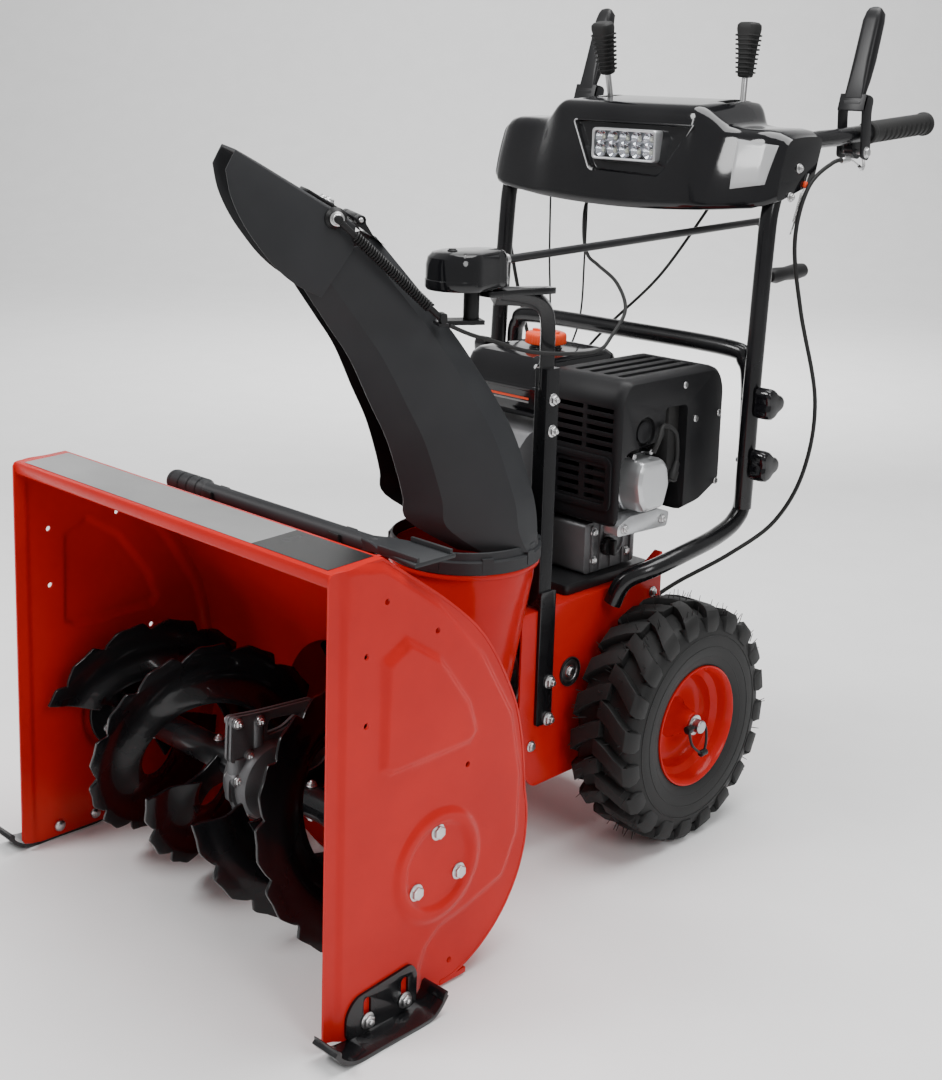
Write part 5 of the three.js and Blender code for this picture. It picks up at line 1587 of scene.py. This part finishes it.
def clutch_lever(side, name):
    piece = Piece("clutch_paddle_" + name, "clutch_lever_" + name, "matte_black_plastic",
                  "clutch_lever_" + name, side=side)
    y0, z0 = LEVER_PIVOT
    rise = Vector((1103 - y0, 1141 - z0))
    length = rise.length
    ahead = rise.normalized()
    lean = math.atan2(ahead.x, ahead.y)

    def local(points):
        out = []
        for y, z in points:
            out.append((y0 + y * math.cos(lean) + z * math.sin(lean),
                        z0 - y * math.sin(lean) + z * math.cos(lean)))
        return out

    cheek = local(rounded([(-9, -10), (9, -10), (12, 0), (-9, 58), (-10, 78), (-31, 78), (-33, 58),
                           (-12, 0)], 8))
    for low in (GRIP_X - 21, GRIP_X + 17.6):
        piece.add(SATIN, prism("x", cheek, low, low + 3.4))
    bridge = local(rounded([(-33, 52), (-29, 52), (-28, 77), (-33, 77)], 1.4))
    piece.add(SATIN, prism("x", bridge, 229, 271))
    stations = (
        (60, -31.5, 13), (62, -33, 15), (66, -33.4, 15.6), (67, -32.6, 14.8), (70, -32.6, 14.8),
        (71, -33.4, 15.6),
        (100, -33.8, 15.8), (130, -34, 15.8), (length - 22, -33, 15.4), (length - 9, -31, 13.4),
        (length - 3, -28, 9.6), (length - 0.4, -25, 5),
    )
    rings = []
    for z, far, half in stations:
        near = min(-28.6 + (z - 60) * 0.3, -12)
        if z > length - 4:
            near = far + 8
        middle, reach = (far + near) / 2, (near - far) / 2
        ring = []
        for x, y in rect(-half, half, -reach, reach, min(half, reach) * 0.86, 6):
            ring.append((GRIP_X + x, *local([(middle + y, z)])[0]))
        rings.append(ring)
    piece.add(SATIN, loft(rings))
    piece.add(ZINC, rod("x", LEVER_PIVOT, 226.6, 273.4, 4, 20))
    piece.add(ZINC, *bolt((271, *LEVER_PIVOT), (1, 0, 0), 6.6, 5, 0))
    hook = local([(4, -8), (10, -16), (8, -24), (2, -22)])
    piece.add(ZINC, tube([(266, *p) for p in hook], 2.2, 5, 12))
    piece.build(0.9, angle=30)


def handle_knobs(side, name):
    for level, y, z in (("upper", 834, 597), ("lower", 831, 509)):
        body = level + "_knob_" + name
        piece = Piece(level + "_wing_" + name, body, "gloss_black_plastic", body, side=side)
        rings = []
        levels = ((0.8, 257), (0.98, 259), (1.0, 264), (1.0, 276), (0.95, 281), (0.82, 283.6), (0.3, 284))
        for grow, x in levels:
            rings.append([on_axis("x", y + a * grow, z + b * grow, x) for a, b in lobed(20, 4)])
        piece.add(GLOSS, loft(rings))
        piece.add(ZINC, rod("x", (y, z), 226.4, 258, 4, 20))
        piece.build(0.4, angle=40)
    plate = Piece("handle_washers_" + name, "frame", "steel", side=side)
    for z, y in ((597, 834), (509, 831)):
        plate.add(ZINC, washer_ring("x", (y, z), rect(4.4, 10, 255.7, 256.4), 28))
    plate.build()


def dash_line(x, inset):
    """The dash's outline at one x: a full middle that steps back to a lower lobe on each side."""
    full = 1 - smooth_step(abs(x), 120, 176)
    end = smooth_step(abs(x), 236, 262)
    reach = abs(x) / 262
    low_y = 802 + 18 * reach ** 3 + 8 * end
    low_z = 846 + 19 * reach ** 2 + 5 * end
    top_y = 844 - 18 * full + 10 * end
    top_z = 971 + 29 * full - 10 * end
    back_y = 952 + 40 * full - 6 * end
    back_z = 973 + 33 * full - 8 * end
    foot_y = 925 + 40 * full
    foot_z = 893 - 12 * full + 4 * end
    bulge = 3 + 3 * full
    corners = [
        (low_y + inset, low_z - 14 if inset else low_z), (foot_y - inset, foot_z - 14 if inset else foot_z),
        (back_y - inset, back_z - inset), (back_y - 50, back_z + 4 * full - inset),
        (top_y + inset, top_z - inset),
        ((low_y + top_y) / 2 - bulge + inset, (low_z + top_z) / 2),
    ]
    return rounded(corners, 17 - inset, 6)


def dash():
    places = [-262, -260, -255, -246, -230, -210, -190] + [-166 + 6 * i for i in range(10)]
    places += [-100, -80, -50, -20, 0]
    places += [-x for x in places[-2::-1]]
    rings = []
    for x in places:
        shrink = 1 - 0.05 * smooth_step(abs(x), 252, 262)
        rings.append([(x, 890 + (y - 890) * shrink, 925 + (z - 925) * shrink) for y, z in dash_line(x, 0)])
    piece = Piece("dash_shell", "frame", "gloss_black_plastic", "dash_panel")
    piece.add(GLOSS, loft(rings))
    cutters = [open_underside(), lamp_recess()]
    for x in (-100, 120):
        cutters.append(prism("z", rect(x - 8, x + 8, 892, 1004, 5), 960, 1040))
    piece.build(1.4, cutters=cutters, angle=30, segments=3)


def open_underside():
    """What is taken out of the dash so that it is a shell, open below."""
    places = [-257, -240, -200, -166, -150, -135, -112, -60, 0, 60, 112, 135, 150, 166, 200, 240, 257]
    return loft([[(x, y, z) for y, z in dash_line(x, 4)] for x in places])


RECESS = [(-90, 973), (-48, 901), (80, 897), (127, 972)]


def in_recess(shrink):
    return rounded([(936 + (z - 936) * shrink, 18 + (x - 18) * shrink) for x, z in RECESS], 7, 4)


def recess_ring(depth, shrink):
    """The recess's outline at a depth behind the sloping front of the dash."""
    return [on_axis("y", a, b, 796 + (a - 849) * 0.159 + depth) for a, b in in_recess(shrink)]


def lamp_recess():
    levels = ((-30, 1.06), (1.5, 1.0), (6, 0.95), (10, 0.92))
    return loft([recess_ring(depth, shrink) for depth, shrink in levels])


def lamp_tray():
    piece = Piece("lamp_tray", "frame", "gloss_black_plastic")
    piece.add(GLOSS, loft([recess_ring(3, 1.04), recess_ring(13, 1.04)]))
    piece.build(0.6, cutters=[lamp_recess()])
    # a pale tube along the recess's left edge: a painted highlight
    edge = Piece("recess_painted_highlight", "frame", "gloss_black_plastic")
    inner = [p for p in in_recess(1.0) if p[1] < -30]
    line = [on_axis("y", a, b, 796.6 + (a - 849) * 0.159) for a, b in inner]
    edge.add(PAINTED_HIGHLIGHT, tube(line, 1.1, 1, 10, smooth=False))
    edge.build(angle=50)


def painted_highlight_facet():
    """A painted highlight: a pale pane let into the front of the left lobe, following its curve, standing
    in for the light's reflection on the gloss.
    """
    front, back = [], []
    for i in range(13):
        t = i / 12
        row_front, row_back = [], []
        for k in range(9):
            q = k / 8
            low, high = Vector((196 + 50 * t, 889 + 9 * t)), Vector((190 + 62 * t, 957 - 6 * t))
            x, z = low.lerp(high, q)
            y = front_of_dash(x, z)
            row_front.append((x, y - 1.4, z))
            row_back.append((x, y + 2, z))
        front.append(row_front)
        back.append(row_back)
    return shell(front, back)


def front_of_dash(x, z):
    """Where the front of the dash is at a height, read off its outline."""
    line = dash_line(x, 0)
    best = 1e9
    for a, b in zip(line, line[1:] + line[:1]):
        if min(a[1], b[1]) <= z <= max(a[1], b[1]) and abs(b[1] - a[1]) > 1e-6:
            best = min(best, a[0] + (b[0] - a[0]) * (z - a[1]) / (b[1] - a[1]))
    return best


def dash_details():
    piece = Piece("dash_trim", "frame", "gloss_black_plastic")
    # the pale facet is a painted highlight, laid on the left lobe only
    piece.add(PAINTED_HIGHLIGHT, painted_highlight_facet())
    for side in (LEFT, RIGHT):
        for y, z in ((884, 920), (866, 881)):
            piece.add(ZINC, *(sided(b, side) for b in bolt((262.4, y, z), (1, 0, 0), 5.6, 5, 2)))
    piece.add(PLASTIC, rod("x", SHIFT_PIVOT, -143, 143, 4, 20))
    for x in (-141, 141):
        piece.add(PLASTIC, prism("x", rect(930, 952, 884, 930, 5), x - 2, x + 2))
    piece.build(0.6)


def head_lamp():
    piece = Piece("lamp", "frame", "lamp_lens", "headlight")
    x0, x1, z0, z1 = -45, 72, 917, 963
    outer = [(z, x) for x, z in rect(x0, x1, z0, z1, 6)]
    cx, cz = (x0 + x1) / 2, (z0 + z1) / 2
    inner = [(cz + (z - cz) * 0.84, cx + (x - cx) * 0.93) for z, x in outer]
    piece.add(SILVER, loft([
        [on_axis("y", a, b, 829) for a, b in outer], [on_axis("y", a, b, 808) for a, b in outer],
        [on_axis("y", a + (cz - a) * 0.03, b + (cx - b) * 0.01, 806) for a, b in outer],
        [on_axis("y", a, b, 807) for a, b in inner], [on_axis("y", a, b, 818) for a, b in inner],
    ]))
    for row in range(2):
        for column in range(5):
            x = x0 + 14.5 + column * 22
            z = z0 + 14 + row * 18.4
            cup = [(9.4, 810.4), (9.9, 810.4), (9.9, 818), (3.2, 817.6), (3.2, 817), (6.6, 814.6)]
            piece.add(REFLECTOR, washer_ring("y", (z, x), cup, 28))
            piece.add(LED, prism("y", rect(z - 2.4, z + 2.4, x - 2.4, x + 2.4), 816, 818.4))
    piece.build(0.3, angle=35)
    glass = Piece("lamp_glass", "frame", "lamp_lens")
    glass.add(GLASS, prism("y", inner, 807.2, 808.8))
    glass.build()


def shift_lever(body, x, tip):
    piece = Piece(body + "_stick", body, "rubber", body)
    y0, z0 = SHIFT_PIVOT
    run = Vector((0, tip[0] - y0, tip[1] - z0))
    length = run.length
    at = (x, y0, z0)
    piece.add(ZINC, aimed(rod("z", (0, 0), 8, length - 60, 4.5, 24), at, run))
    piece.add(SATIN, rod("x", SHIFT_PIVOT, x - 9, x + 9, 10, 32))
    rings = []
    sizes = (
        (79, 8, 8), (77, 10, 10), (50, 11.4, 10.6), (26, 14, 11.6), (10, 17, 13), (4, 16.4, 12.6),
        (0.6, 13, 10), (0, 8, 6),
    )
    for below, half_x, half_y in sizes:
        ring = rect(-half_x, half_x, -half_y, half_y, min(half_x, half_y) * 0.8)
        rings.append([(px, py, length - below) for px, py in ring])
    place = Matrix.Translation(at) @ Matrix.Rotation(-math.atan2(run.y, run.z), 4, "X")
    piece.add(RUBBER, changed(loft(rings), place))
    for i in range(9):
        z = length - 73 + i * 6.6
        half_x = 11.8 + i * 0.72
        ring = rect(-half_x, half_x, -12.4, 12.4, 6, 4)
        piece.add(RUBBER, changed(prism("z", ring, z, z + 2.4), place))
    piece.build(0.5, angle=35)


def cables():
    drive = [
        (268, 1004, 931), (268, 960, 926), (269, 900, 893), (270, 874, 820), (272, 898, 722),
        (276, 947, 588), (262, 953, 480), (236, 926, 403), (200, 870, 356), (160, 800, 318),
        (150, 751.35, 300),
    ]
    for side, name in SIDES:
        piece = Piece("drive_sheath_" + name, "frame", "rubber", "drive_cable_" + name, side=side)
        piece.add(RUBBER, tube(drive, 3, 10, 16))
        end = [(4, 0), (4.6, 1), (4.6, 18), (3.4, 20)]
        piece.add(ZINC, aimed(lathe("z", (0, 0), end, 20), drive[0], (0, -1, -0.1)))
        piece.build(angle=50)
        wire = Piece("drive_wire_" + name, "frame", "steel", side=side)
        run = [(268, 1001, 931), (265, 1014, 930), (262.6, 1030, 926), (262.4, 1048, 918)]
        wire.add(ZINC, tube(run, 1.3, 8, 12))
        wire.add(PLASTIC, aimed(rod("z", (0, 0), 0, 7, 2.2, 16), run[-1], (0, -1, 0.45)))
        wire.build(angle=50, across=("clutch_lever_" + name, "frame", run[-1], run[0]))


lower_loop()
for side, name in SIDES:
    upper_tube(side, name)
    clutch_lever(side, name)
    handle_knobs(side, name)
dash()
lamp_tray()
dash_details()
head_lamp()
shift_lever("speed_lever", 120, (953, 1120))
shift_lever("deflector_lever", -100, (885, 1117))
cables()


# ---- loose wires and springs ----
def thin_wires():
    """Control wires and the shift rod, from the dash down behind the loop and into the body's rear edge."""
    piece = Piece("control_wires", "frame", "rubber")
    foot_y, foot_z = BODY_Y[1] - 1.5, BODY_Z[1] - 2
    runs = (
        (1.5, [(-175, 868, 872), (-172, 868, 760), (-165, 867, 664), (-156, 850, 600), (-146, 800, 480),
               (-142, 760, 390)]),
        (1.5, [(-103, 872, 870), (-102, 870, 760), (-105, 868, 664), (-118, 846, 590), (-130, 800, 480),
               (-132, 760, 390)]),
        (2.2, [(120, 905, 880), (40, 882, 752), (-45, 868, 664), (-90, 846, 600), (-116, 806, 520),
               (-122, 762, 395)]),
    )
    for radius, run in runs:
        piece.add(RUBBER, tube(run + [(run[-1][0], foot_y, foot_z)], radius, 10, 12))
    piece.build(angle=50)
    for side, name in SIDES:
        spring = Piece("lever_spring_" + name, "frame", "steel", side=side)
        low, high = Vector((263, 872, 829)), Vector((263, 908, 912))
        spring.add(ZINC, tube([low, (263, 880, 845), (263, 899, 892), high], 1.1, 6, 10))
        spring.add(ZINC, coil(Vector((263, 880, 846)), Vector((263, 896, 886)), 2.8, 0.7, 15))
        spring.add(ORANGE, aimed(rod("z", (0, 0), 0, 9, 3.4, 16), (263, 899, 893), (0, 0.4, 0.92)))
        spring.build(angle=50)


def deflector_cable():
    points = [
        chute_point(48, 74, 741), (166, 340, 728), (168, 376, 717), (178, 439, 698), (185, 524, 688),
        (172, 580, 686),
        (150, 626, 692), (120, 695, 721), (60, 749, 748), (-17, 800, 762), (-50, 815, 773), (-72, 830, 800),
        (-87, 850, 844), (-98, 890, 876), (-100, 922, 886),
    ]
    piece = Piece("deflector_sheath", "frame", "rubber", "deflector_cable")
    piece.add(RUBBER, tube(points, 2.6, 10, 16))
    piece.build(angle=50, across=("chute", "frame", (0, 323, 0), (0, 507, 0)))


thin_wires()
deflector_cable()


# ---- floor and light ----
def studio():
    mesh = bpy.data.meshes.new("floor")
    low = CAD_BOX[0][2] - 0.0005
    rows = []
    for i in range(25):
        t = i / 24
        if t < 0.6:
            rows.append((-7 + 12 * t / 0.6, low))
        else:
            angle = math.pi / 2 * (t - 0.6) / 0.4
            rows.append((5 + 2.5 * math.sin(angle), low + 2.5 * (1 - math.cos(angle))))
    rows.append((7.5, low + 7))
    verts = [(x, y, z) for y, z in rows for x in (-9, 9)]
    faces = [(2 * i, 2 * i + 1, 2 * i + 3, 2 * i + 2) for i in range(len(rows) - 1)]
    mesh.from_pydata(verts, [], faces)
    floor = bpy.data.objects.new("floor", mesh)
    mesh.shade_smooth()
    floor.rotation_euler = (0, 0, math.radians(43))
    bpy.context.scene.collection.objects.link(floor)
    mesh.materials.append(surface("paper", (0.86, 0.86, 0.86), (0.88, 0.88, 0.88), (0.7, 0.8), 40, 0.01))


def area_light(name, place, aim, size, power):
    data = bpy.data.lights.new(name, "AREA")
    data.shape = "ELLIPSE"
    data.size = size[0]
    data.size_y = size[1]
    data.energy = power
    light = bpy.data.objects.new(name, data)
    light.location = place
    light.rotation_euler = (Vector(aim) - Vector(place)).to_track_quat("-Z", "Y").to_euler()
    bpy.context.scene.collection.objects.link(light)


def lights():
    world = bpy.data.worlds.new("studio")
    world.use_nodes = True
    world.node_tree.nodes["Background"].inputs["Color"].default_value = (1, 1, 1, 1)
    world.node_tree.nodes["Background"].inputs["Strength"].default_value = 0.45
    bpy.context.scene.world = world
    area_light("key", (-1.1, -2.4, 2.9), (0, 0, 0.5), (1.3, 1.3), 75)
    area_light("fill", (3.0, -1.2, 2.4), (0, 0, 0.4), (0.9, 1.8), 34)
    area_light("top", (0.2, 0.5, 3.6), (0, 0, 0.2), (3.0, 3.0), 170)
    area_light("backdrop", (-1.6, 2.2, 2.4), (-4.0, 4.2, 1.2), (2.4, 2.4), 160)


studio()
lights()
